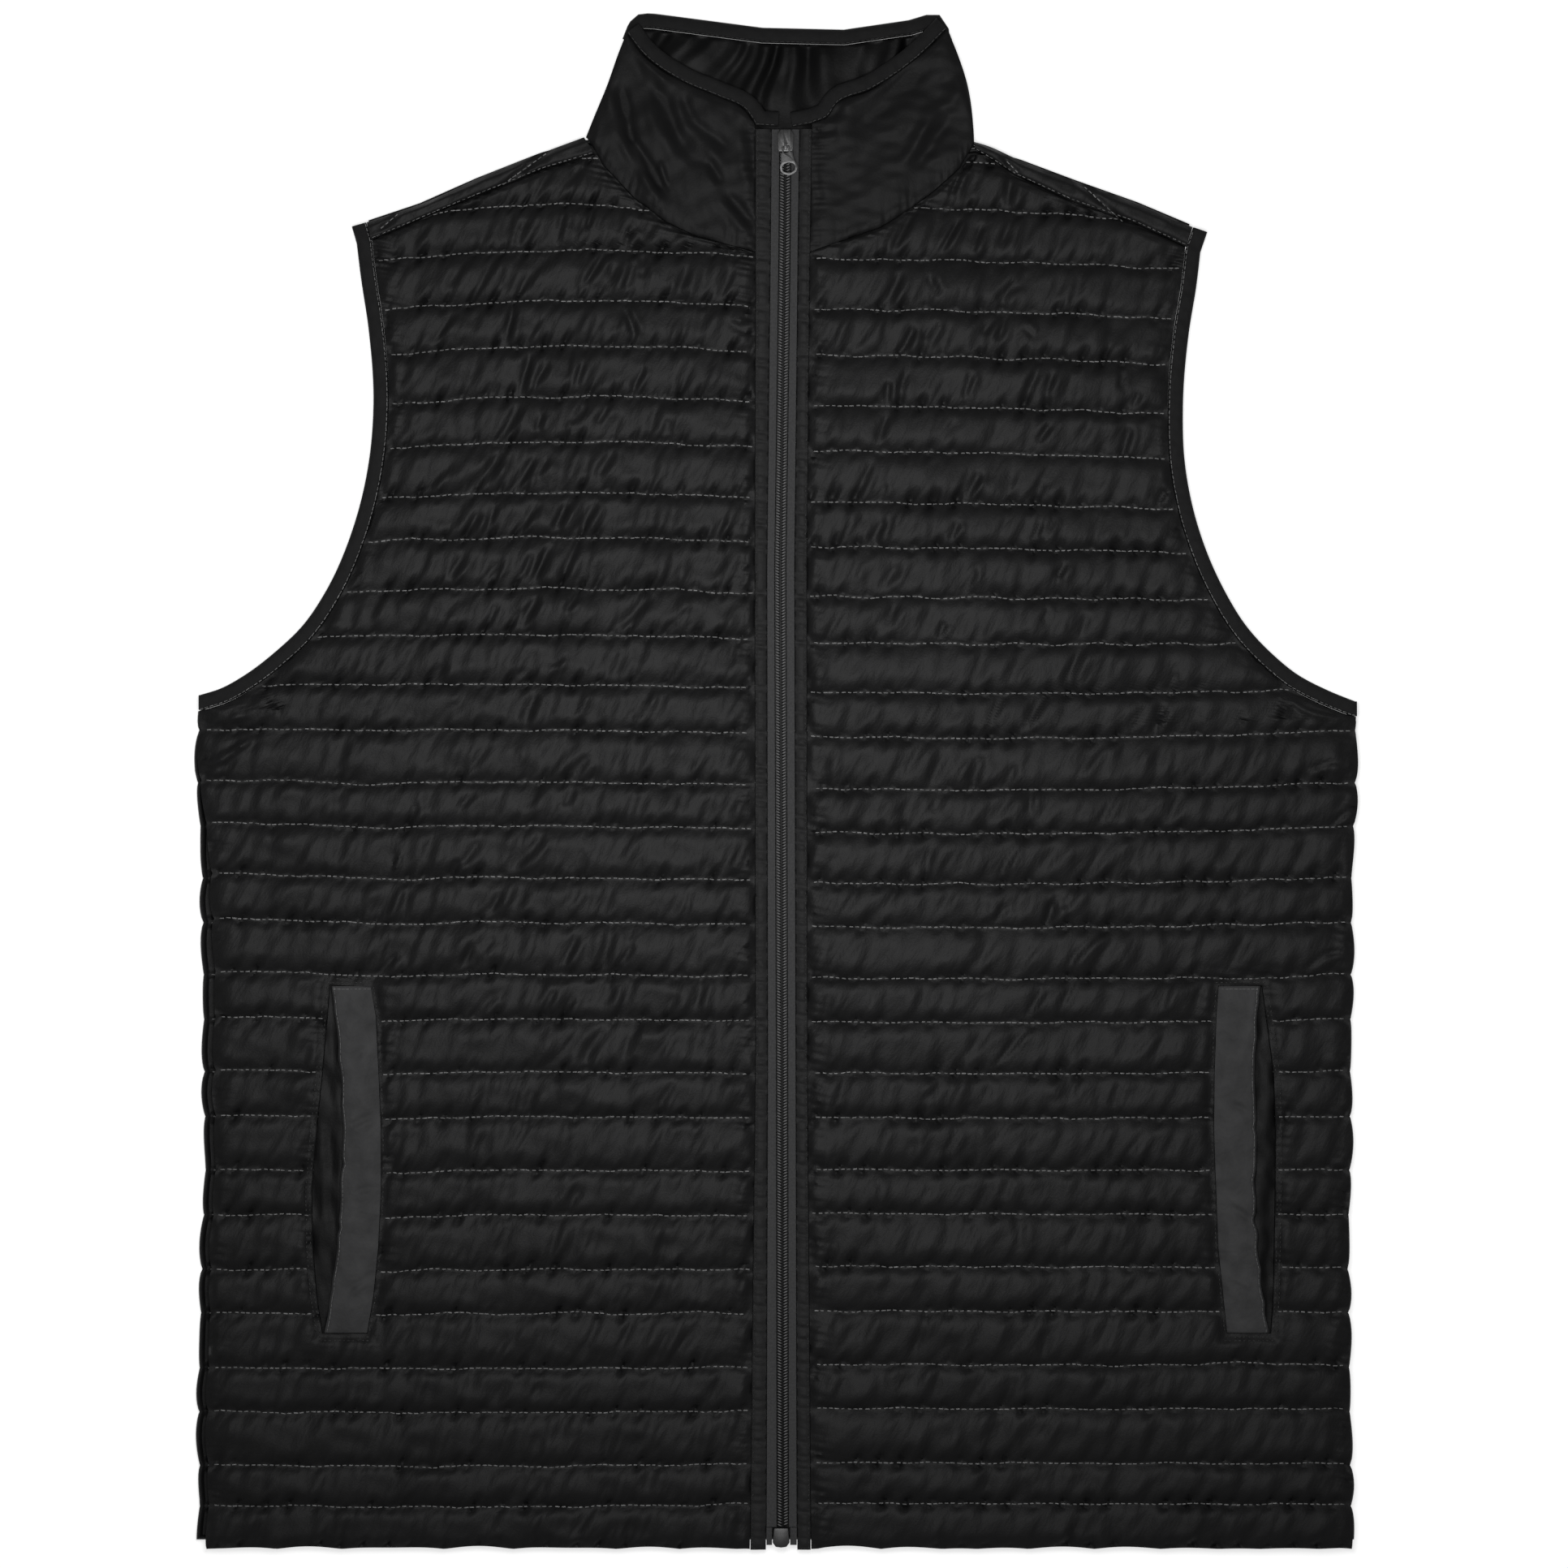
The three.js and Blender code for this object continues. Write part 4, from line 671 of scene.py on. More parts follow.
def row_wobble(side, ts, x):
    """Each stitched row wanders a little from its line, and the hem waves; the top doesn't."""
    seed = seed_of("rows", side)
    slow, fast = ripples(seed, 45), ripples(seed + 1, 12)
    lines = []
    for row in (np.floor(ts + 1e-6), np.floor(ts + 1e-6) + 1):
        free = ((row > 0) & (row < len(ROWS[side]) - 2))[:, None]
        at = x + 137 * row[:, None]
        hem = (row == 0)[:, None] * HEM_WAVE * np.abs(slow(0.7 * at))
        lines.append(free * (ROW_WOBBLE * slow(at) + 0.35 * ROW_WOBBLE * fast(at)) + hem)
    share = (ts - np.floor(ts + 1e-6))[:, None]
    return lines[0] * (1 - share) + lines[1] * share


def front_points(side):
    """The fine grid of a front's outer cloth, its row parameters and the pocket's opening."""
    ts, pocket_low, pocket_high = front_ts(side)
    outer_column, _, sewn_column = POCKET_COLUMN[side]
    counts = (30, 14, 121) if side == "left" else (24, 15, 126)
    grid = np.zeros((len(ts), sum(counts) + 1, 3))
    edge = np.zeros(grid.shape[:2])
    for r, t in enumerate(ts):
        phase = t - math.floor(t)
        outer = outer_edge_x(side, float(row_y(side, t, 0)), phase)
        inner = inner_edge_x(side, float(row_y(side, t, 1)))
        at_pocket = float(np.clip(row_y(side, t, 0.25), POCKETS[0, 0], POCKETS[-1, 0]))
        near = float(np.clip(row_y(side, t, 0), POCKETS[0, 0], POCKETS[-1, 0]))
        base = outer_edge_x(side, near, phase)
        across = inner_edge_x(side, at_pocket) - base
        marks = [0, (float(read(POCKETS, at_pocket, outer_column)) - base) / across,
                 (float(read(POCKETS, at_pocket, sewn_column)) - base) / across, 1]
        shares = np.concatenate([np.linspace(marks[k], marks[k + 1], counts[k], endpoint=False)
                                 for k in range(3)] + [[1.0]])
        grid[r, :, 0] = outer + (inner - outer) * shares
        grid[r, :, 1] = row_y(side, t, shares)
        width = abs(inner - outer)
        edge[r] = np.minimum(shares, 1 - shares) * width
    wander = row_wobble(side, ts, grid[..., 0])
    wander *= np.clip(pocket_press(side, grid[..., 0], grid[..., 1])[1] / 8, 0, 1)
    grid[..., 1] += wander * np.clip(edge / 6, 0, 1)
    row_low = int(np.argmin(np.abs(ts - pocket_low)))
    row_high = int(np.argmin(np.abs(ts - pocket_high)))
    hole = ((row_low, row_high), (counts[0], counts[0] + counts[1]))
    return grid, ts, edge, hole


def pocket_press(side, x, y):
    """Padding is pressed flat beside a pocket's stitching: its share left, and the distance."""
    outer_column, _, sewn_column = POCKET_COLUMN[side]
    ends = np.maximum(POCKETS[0, 0] - y, y - POCKETS[-1, 0])
    a, b = read(POCKETS, y, outer_column), read(POCKETS, y, sewn_column)
    sides = np.maximum(np.minimum(a, b) - x, x - np.maximum(a, b))
    beside = np.maximum(ends, sides)
    away = np.clip(beside / POCKET_PINCH, 0, 1)
    return 0.3 + 0.7 * away * away * (3 - 2 * away), np.maximum(beside, 0)


def quilted_height(side, x, y, ts, edge, seed):
    """How far the outer cloth stands above a stitched row."""
    t = ts[:, None] * np.ones_like(x)
    channel = np.floor(t + 1e-6)
    phase = np.clip(t - channel, 0, 1)
    shift = channel * 53.0
    pad = 1 + 0.13 * waves(seed, 55)(x + shift, y) + 0.06 * waves(seed + 1, 18)(x + shift, y)
    rise = np.sqrt(np.clip(edge / EDGE_INSET, 0, 1))
    full = fullness(phase)
    side_x = np.array([outer_edge_x(side, float(row), 0.5) for row in y[:, 0]])
    from_side = np.clip(np.abs(x - side_x[:, None]) / 13, 0, 1)
    rise = rise * (0.55 + 0.45 * np.sqrt(from_side))
    height = PUFF_RISE * pad * full * rise
    # slanted creases that run from one stitched row to the next
    height -= folds_over(CREASES[side], x, y, CREASE_RIDGE) * np.sqrt(full) * CREASE_DEPTH
    height -= folds_over(scattered_creases(side, seed), x, y, CREASE_RIDGE) * np.sqrt(full)
    # small puckers gathered by the stitching, deeper above each row than below it
    gap = np.where(phase < 0.5, phase, 1 - phase) * 25
    depth = np.where(phase < 0.5, PUCKER_ABOVE, PUCKER_BELOW)
    reach = np.where(phase < 0.5, 5.5, 3.5)
    gather = ripples(seed + 4, 9)(x - 0.5 * y + 171 * np.round(t))
    gather = np.clip(gather - 0.15, 0, 2) ** 1.2
    height -= depth * gather * np.exp(-((gap / reach) ** 2)) * np.clip(gap / 1.4, 0, 1) * rise
    broken = waves(seed + 5, 11, 8)(0.87 * x - 0.5 * y + shift, 0.45 * (0.5 * x + 0.87 * y))
    height += 0.3 * broken * full * rise
    press, beside = pocket_press(side, x, y)
    height = height * press
    tuck = np.abs(ripples(seed + 7, 8)(y + 0.15 * x))
    height -= 0.7 * tuck * np.exp(-((beside / 7) ** 2)) * np.clip(beside / 1.5, 0, 1)
    # the seam allowances pull small pleats in along the outer edges
    pleat = np.abs(ripples(seed + 6, 7)(y + 0.2 * x))
    height -= 0.7 * pleat * np.exp(-((edge / 8) ** 2)) * np.clip(edge / 1.5, 0, 1)
    return np.maximum(height, -1.6)


def scattered_creases(side, seed):
    """Slanted creases between the stitched rows, uneven in length, depth and spacing. They are
    shallower where the main ones were read one by one."""
    draw = np.random.default_rng(seed + 30)
    found = []
    rows = ROWS[side]
    for k in range(len(rows) - 2):
        middle = (rows[k] + rows[k + 1]) / 2
        outer = outer_edge_x(side, middle, 0.5)
        inner = inner_edge_x(side, middle)
        start, stop = min(outer, inner) + 5, max(outer, inner) - 5
        x = start + draw.uniform(0, 9)
        while x < stop:
            share = (x - outer) / (inner - outer)
            low, high = row_y(side, k, share), row_y(side, k + 1, share)
            foot = draw.uniform(0.02, 0.2) if draw.random() < 0.7 else draw.uniform(0.25, 0.5)
            head = foot + draw.uniform(0.4, 0.95)
            y0, y1 = low + (high - low) * foot, low + (high - low) * min(head, 0.97)
            lean = draw.normal(0.55, 0.2)
            depth = crease_strength(side, x, middle) * draw.uniform(0.3, 2.1)
            found.append((x, y0, x + lean * (y1 - y0), y1, draw.uniform(2.4, 5.6), depth))
            x += 7 + draw.exponential(11)
    return found


def crease_strength(side, x, y):
    """How strongly the slanted creases show: most on the left front's middle, below the chest."""
    if side == "left":
        middle = math.exp(-(((x + 105) / 75) ** 2))
        read_by_hand = -190 < x < -50 and -122 < y < 248
    else:
        middle = math.exp(-(((x - 120) / 85) ** 2))
        read_by_hand = 49 < x < 205 and 76 < y < 264
    low_part = min(max((y + 330) / 250, 0.45), 1)
    return (0.14 + 0.6 * middle * low_part) * (0.4 if read_by_hand else 1)


def build_front(side, draw):
    """A quilted front, with the quilting stitches along its rows."""
    grid, ts, edge, hole = front_points(side)
    x, y = grid[..., 0], grid[..., 1]
    seed = seed_of("front", side)
    grid[..., 2] = FRONT_FLOOR + ROW_HEIGHT + quilted_height(side, x, y, ts, edge, seed)
    name = "front_" + side + "_cloth"
    obj = closed_patch(name, grid, FRONT_FLOOR, "shell", hole=hole)
    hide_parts("front_" + side)
    places = []
    for r, t in enumerate(ts):
        if abs(t - round(t)) > 1e-3 or round(t) == 0:
            continue
        line, heights = grid[r, :, :2], grid[r, :, 2]
        keep = (edge[r] > 0.8)
        if hole[0][0] <= r <= hole[0][1]:
            for part in (slice(0, hole[1][0]), slice(hole[1][1] + 1, None)):
                inside = keep[part]
                if inside.sum() > 2:
                    places += stitches_along(line[part][inside], heights[part][inside], draw)
        elif keep.sum() > 2:
            places += stitches_along(line[keep], heights[keep], draw)
    sewing = dashes("quilting_stitches_" + side, places)
    return grid


def height_on(grid, points):
    """The height of a cloth's nearest grid point at each given place."""
    flat = grid.reshape(-1, 3)
    low, high = points.min(axis=0) - 4, points.max(axis=0) + 4
    near = flat[((flat[:, :2] > low) & (flat[:, :2] < high)).all(axis=1)]
    nearest = [int(np.argmin(((near[:, :2] - p) ** 2).sum(axis=1))) for p in points]
    return near[nearest, 2]


# The back, under the fronts

def back_side_x(side, y):
    column = 1 if side == "left" else 2
    seam = ARMHOLE_SEAM[side]
    if y <= seam[0, 1]:
        t = row_of_back(y)
        puff = side_puff(side, y, t - math.floor(t))
        return float(read(SIDES, y, column)) + OUT_X[side] * puff
    return float(np.interp(y, seam[:, 1], seam[:, 0]))


BACK_ROWS = np.array(ROWS["left"], float)


def row_of_back(y):
    return float(np.interp(y, BACK_ROWS, np.arange(len(BACK_ROWS))))


def build_back(draw):
    """The back: padded channels on its hidden underside, which rests on the surface."""
    top_y = 276.0
    low = np.arange(BACK_HEM_Y, top_y, BACK_ROW_STEP)
    ys = sorted(set(np.round(low, 3)) | {float(y) for y in BACK_ROWS if BACK_HEM_Y + 1 < y < top_y - 1})
    ys = [y for i, y in enumerate(ys) if i == 0 or y - ys[i - 1] > 0.5 or y in BACK_ROWS] + [top_y]
    columns = round(600 / BACK_COLUMN_STEP)
    shares = np.linspace(0, 1, columns + 1)
    rows = []
    for y in ys:
        left, right = back_side_x("left", y), back_side_x("right", y)
        rows.append(np.stack([left + (right - left) * shares, np.full(columns + 1, y)], axis=1))
    body = np.array(rows)
    crown_line = np.concatenate([
        side_points(SHOULDER_FOLD, "left")[:-1], [(-97.5, 333.5)], BACK_NECK[1:-1], [(101.5, 329)],
        side_points(SHOULDER_FOLD, "right")[:-1][::-1]])
    base = body[-1]
    crown_y = np.interp(base[:, 0], crown_line[:, 0], crown_line[:, 1])
    steps = 20
    crown = []
    for i in range(1, steps + 1):
        u = i / steps
        x = base[:, 0] + u * np.interp(base[:, 0], [base[0, 0], 0, base[-1, 0]], [-2.5, 0, 2.5])
        crown.append(np.stack([x, base[:, 1] + (crown_y - base[:, 1]) * u], axis=1))
    flat = np.concatenate([body, np.array(crown)])
    x, y = flat[..., 0], flat[..., 1]
    t = np.interp(y, BACK_ROWS, np.arange(len(BACK_ROWS)))
    phase = t - np.floor(t)
    pad = 1 + 0.1 * waves(71, 50)(x + np.floor(t) * 47, y)
    gather = waves(72, 8, 6)(x, np.round(t) * 31.0)
    gap = np.minimum(phase, 1 - phase) * 25
    rest = 2.1 * np.clip(1 - fullness(phase) * 1.06 * pad, 0, 1)
    rest += 0.35 * np.abs(gather) * np.exp(-((gap / 5) ** 2))
    rest += 0.5 * np.clip(waves(73, 15, 5)(x - 0.6 * y, np.floor(t) * 40.0), 0, 2) ** 1.5 * 0.7
    rest = np.clip(rest, 0.0, 2.6)
    grid = with_height(flat, rest)[::-1]
    high, wide = grid.shape[:2]

    def rings(r, c):
        """The back's edge rolls up over its seam allowance and dips again before the fronts."""
        x, y, _ = grid[r, c]
        way_x = 1 if c == 0 else -1 if c == wide - 1 else 0
        way_y = -1 if r == 0 else 1 if r == high - 1 else 0
        t = row_of_back(y)
        dip = 0.9 * (1 - float(fullness(t - math.floor(t)))) * abs(way_x)
        low = 0.3 if r == 0 else 1.7
        return [(x, y, BACK_THICKNESS - low - dip),
                (x + 0.7 * way_x, y + 0.5 * way_y, BACK_THICKNESS - 0.3 * low - dip),
                (x + 1.6 * way_x, y + 1.2 * way_y, BACK_THICKNESS - 0.1 - dip),
                (x + 2.4 * way_x, y + 1.8 * way_y, BACK_THICKNESS - 0.6 - dip),
                (x + 3.1 * way_x, y + 2.4 * way_y, BACK_THICKNESS - 2.0)]

    obj = closed_patch("back_cloth", grid, BACK_THICKNESS, "shell", rim_rings=rings)
    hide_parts("back_panel")
    places = []
    for row in BACK_ROWS:
        if not BACK_HEM_Y + 5 < row < top_y:
            continue
        r = int(np.argmin(np.abs(np.array(ys) - row)))
        line = flat[r][1:-1]
        heights = rest[r][1:-1]
        places += [(px, py, pz - 0.24, ax, ay, size, wide) for px, py, pz, ax, ay, size, wide
                   in stitches_along(line, heights, draw)]
    sewing = dashes("quilting_stitches_back", places)


def band(name, line, width, floor, thickness, side, material, seed, replace, wrinkle=0.22):
    """A bound or folded edge: a rounded strip along a line, with small wrinkles across it."""
    line = even(line, max(round(length_of(line) / STRIP_STEP), 4))
    outs = np.array([SEAM_GAP, SEAM_GAP + 0.6, SEAM_GAP + 1.4, width * 0.35, width * 0.55,
                     width * 0.75, width - 1.3, width - 0.5, width])
    lifts = np.array([0.62, 0.88, 0.97, 1.02, 1.0, 0.98, 0.9, 0.74, 0.45])
    columns = [moved(line, side * out) for out in outs]
    flat = np.stack(columns, axis=1)
    at = np.linspace(0, length_of(line), len(line))[:, None]
    field = waves(seed, 9, 6)(at + 0.35 * outs[None, :], 0.4 * outs[None, :] + 0 * at)
    inner = np.sin(np.pi * np.clip(outs / width, 0, 1))[None, :]
    height = floor + lifts[None, :] * thickness + wrinkle * field * inner
    grid = with_height(flat, height)
    obj = closed_patch(name, grid, floor, material, turned=(-1,))
    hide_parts(replace)
    return obj, grid


def armhole_line(side):
    seam = ARMHOLE_SEAM[side]
    column = 1 if side == "left" else 2
    corner = np.array([[float(read(SIDES, seam[0, 1], column)), seam[0, 1]]])
    top_y = side_points(SHOULDER_SEAM, side)[0, 1]
    own = seam[(seam[:, 1] < top_y) & (np.abs(seam[:, 0] - corner[0, 0]) > 1.5)]
    return np.concatenate([corner, own, side_points(SHOULDER_FOLD, side)[:1]])


def build_armhole(side, draw):
    line = armhole_line(side)
    # The line runs up the side, so outwards is to its left on the left side.
    outward = -OUT_X[side]
    front, grid = band("armhole_binding_" + side + "_cloth", line, BINDING_WIDTH, FRONT_FLOOR,
                       BINDING_THICKNESS, outward, "binding", seed_of("armhole", side),
                       "armhole_binding_front_" + side)
    under, _ = band("armhole_binding_under_" + side + "_cloth", line, BINDING_WIDTH, 0.0,
                    BACK_THICKNESS - 0.4, outward, "binding", seed_of("armhole_under", side),
                    "armhole_binding_back_" + side, wrinkle=0.12)
    seam = edge_stitches("armhole_stitches_" + side, grid, draw, "edge_thread_and_highlight")


def build_shoulder(side, draw):
    """The back's part that comes forward over a shoulder, with its slanted quilting."""
    seam = side_points(SHOULDER_SEAM, side)
    seam = moved(seam, OUT_X[side] * -SEAM_GAP)
    crown = side_points(SHOULDER_FOLD, side)
    if side == "right":
        seam[-1] = (102.9, 328.4)
        crown = np.concatenate([crown[:-1], [(109.3, 330.1), (102.2, 332.2)]])
    fold = smooth(crown, 80)
    seam = even(seam, 80)
    shares = np.linspace(0, 1, 12)
    flat = seam[:, None] * (1 - shares[None, :, None]) + fold[:, None] * shares[None, :, None]
    lifts = np.interp(shares, [0, 0.2, 0.7, 1], [0.6, 0.95, 1.0, 0.35])
    x, y = flat[..., 0], flat[..., 1]
    wrinkle = 0.3 * waves(seed_of("shoulder", side), 12, 6)(x, y) * np.sin(np.pi * shares)[None, :]
    crease = SHOULDER_STITCHES[side]
    press = folds_over([(x0, y0, x1, y1, 3, 1.4) for x0, y0, x1, y1 in crease], x, y)
    grid = with_height(flat, FRONT_FLOOR + lifts[None, :] * SHOULDER_THICKNESS + wrinkle - press)
    obj = closed_patch("shoulder_" + side + "_cloth", grid, FRONT_FLOOR, "shell")
    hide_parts("back_shoulder_" + side)
    places = stitches_along(grid[:, 1, :2], grid[:, 1, 2], draw, pitch=2.8, length=2.1, width=0.32)
    for x0, y0, x1, y1 in crease:
        count = max(round(math.hypot(x1 - x0, y1 - y0)), 3)
        line = even(np.array([(x0, y0), (x1, y1)], float), count)
        flat_points = grid[..., :2].reshape(-1, 2)
        near = [int(np.argmin(np.linalg.norm(flat_points - p, axis=1))) for p in line]
        places += stitches_along(line, grid[..., 2].reshape(-1)[near], draw)
    sewing = dashes("shoulder_stitches_" + side, places)


# Quilting rows of the back that show on the shoulders: from x, y to x, y
SHOULDER_STITCHES = {
    "left": [(-142, 309.5, -118.5, 326.5), (-205.5, 286.5, -196, 294.5)],
    "right": [(180, 290, 157, 311), (125.5, 315.5, 117.4, 323.9)],
}


# The collar

# Creases of the front collar, read off enlarged crops: from x, y to x, y, half width,
# depth; a ridge where it is below 0
COLLAR_CREASES = {
    "left": [
        (-80.5, 360.4, -75.1, 334.5, 6, 1.5), (-75.1, 334.5, -57.3, 305.1, 4.5, 1.9),
        (-62.1, 360.4, -45.7, 324.9, 7, 1.1), (-48.4, 355, -40.9, 339.9, 5, 0.9),
        (-40.9, 341.3, -24.5, 329, 5, 0.8), (-34.1, 322.2, -28.6, 311.3, 4, 0.9),
        (-24.5, 304.4, -10.9, 288, 5, 1.3), (-13.6, 342.7, -6.8, 312.6, 8, 1),
        (-73.7, 331.8, -66.6, 318.1, 3.5, -1), (-60, 320.8, -57, 309.9, 3, -0.8),
        (-36.8, 329, -24.5, 318.1, 6, -0.7), (-68.2, 380.9, -55.9, 360.4, 9, -0.9),
    ],
    "right": [
        (76.6, 370, 42.4, 339.9, 12, 1.5), (90.2, 345.4, 72.5, 318.1, 6, 0.8),
        (80.6, 345.4, 66.3, 320.8, 6, -0.8), (19.2, 336.5, 30.8, 338.6, 4, 0.9),
        (33.5, 350.9, 26.7, 344, 5, 0.8), (95.7, 364.5, 90.2, 348.1, 7, -0.7),
        (19.2, 318.1, 22.6, 301.7, 5, 0.6), (62.9, 329, 47.9, 301.7, 12, -0.6),
    ],
}


def build_collar_front(side, draw):
    neck = side_points(NECKLINE, side)
    low_line = np.concatenate([neck[:-1], side_points(COLLAR_FOLD, side)[:1]])
    bottom = even(moved(low_line, OUT_X[side] * SEAM_GAP), 90)[::-1]
    top = smooth(side_points(COLLAR_TOP, side), 90)
    fold = smooth(side_points(COLLAR_FOLD, side), 70)
    bottom[0], top[0] = fold[0], fold[-1]
    ys = np.linspace(bottom[-1, 1], top[-1, 1], 71)
    inner = np.stack([zip_x(side, ys) + OUT_X[side] * SEAM_GAP, ys], axis=1)
    bottom[-1], top[-1] = inner[0], inner[-1]
    flat = coons(bottom, top, fold, inner)
    x, y = flat[..., 0], flat[..., 1]
    up = np.linspace(0, 1, 71)[:, None] * np.ones_like(x)
    across = np.linspace(0, 1, 91)[None, :] * np.ones_like(x)
    border = np.minimum(np.minimum(up, 1 - up) * 70, np.minimum(across, 1 - across) * 80)
    rise = np.sqrt(np.clip(border / 4, 0, 1))
    seed = seed_of("collar", side)
    height = COLLAR_THICKNESS * (0.6 + 0.4 * rise)
    height = height - 1.35 * folds_over(COLLAR_CREASES[side], x, y, 0.5) * rise
    height += (0.4 * waves(seed, 30)(x, y) + 0.14 * waves(seed + 1, 10)(x, y)) * rise
    # the zip's seam and the neck seam draw the cloth in
    by_zip = np.abs(ripples(seed + 5, 8)(y)) * np.exp(-(((1 - across) * 80 / 6) ** 2))
    by_neck = np.abs(ripples(seed + 2, 9)(across * 90)) * np.exp(-((up * 65 / 7) ** 2))
    height -= (0.6 * by_zip + 0.35 * by_neck) * rise
    grid = with_height(flat, FRONT_FLOOR + np.maximum(height, 0.8))
    obj = closed_patch("collar_" + side + "_cloth", grid, FRONT_FLOOR, "collar")
    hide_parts("collar_front_" + side)
    line = np.concatenate([top, side_points(BINDING_END, side)])
    outward = 1 if side == "left" else -1
    binding, edge = band("collar_binding_" + side + "_cloth", line, BINDING_WIDTH, FRONT_FLOOR,
                         BINDING_THICKNESS, outward, "binding", seed + 3,
                         "collar_binding_" + side)
    sewing = edge_stitches("collar_stitches_" + side, edge, draw, "collar_thread")


def build_collar_back(draw):
    """The inside of the back collar, gathered below its binding: black cloth made near-black with painted
    shade.
    """
    edge = moved(COLLAR_BACK_TOP, -BINDING_WIDTH)
    top = even(edge, 130)
    bottom = smooth(moved(BACK_NECK, SEAM_GAP), 130)
    left = even(np.concatenate([bottom[:1], side_points(COLLAR_FOLD, "left")[:-1], top[:1]]), 44)
    right = even(np.concatenate([bottom[-1:], side_points(COLLAR_FOLD, "right")[:-1], top[-1:]]), 44)
    flat = coons(bottom, top, left, right)
    x, y = flat[..., 0], flat[..., 1]
    up = np.linspace(0, 1, 45)[:, None] * np.ones_like(x)
    across = np.linspace(0, 1, 131)[None, :] * np.ones_like(x)
    border = np.minimum(np.minimum(up, 1 - up) * 65, np.minimum(across, 1 - across) * 170)
    rise = np.sqrt(np.clip(border / 3, 0, 1))
    slow, fast = ripples(131, 17), ripples(134, 9)
    bend = x + 5 * waves(135, 60)(x, y)
    gather = 1.1 * slow(bend) * np.clip(up * 1.6 - 0.3, 0.25, 1)
    gather += 0.8 * np.minimum(fast(bend), 0.4) * np.exp(-((1 - up) * 65 / 15))
    height = 2.4 + 0.4 * rise + 0.8 * gather * rise
    height += 0.2 * waves(132, 20)(x, y) * rise
    grid = with_height(flat, np.clip(height, 0.9, COLLAR_BACK_THICKNESS + 0.2))
    obj = closed_patch("collar_back_cloth", grid, 0.0, "inside")
    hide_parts("collar_back")
    binding, band_grid = band("collar_binding_back_cloth", edge, BINDING_WIDTH, 0.0,
                              COLLAR_BACK_THICKNESS, 1, "binding", 133,
                              "collar_binding_back")
    sewing = edge_stitches("collar_stitches_back", band_grid, draw, "placket_thread", length=2.4)


# The pockets

# Creases across the welts, and the small notches in their free edges: from x, y to x, y,
# half width, depth; then y and depth
WELT_CREASES = {
    "left": [(-221, -177, -210, -172, 2.6, 0.9), (-217, -140, -211, -136.5, 3, 0.5),
             (-229, -228, -222, -224, 2.4, 0.7), (-217, -211, -208, -208, 3, 0.6),
             (-221, -261, -207, -253, 2.4, 0.8), (-226, -200, -219, -192, 5, -0.5)],
    "right": [(250, -172, 236, -166, 3, 0.8), (251, -199, 243, -193, 2.4, 0.7),
              (247, -226, 235, -219, 3, 0.9), (252, -249, 243, -240, 3.5, 0.6),
              (240, -140, 232, -133, 4, 0.5), (245, -263, 234, -258, 2.6, 0.5)],
}
WELT_NOTCHES = {"left": [(-197, 0.9), (-230, 1.1), (-262, 0.5)],
                "right": [(-178, 0.8), (-226, 1.2), (-205, 0.5)]}


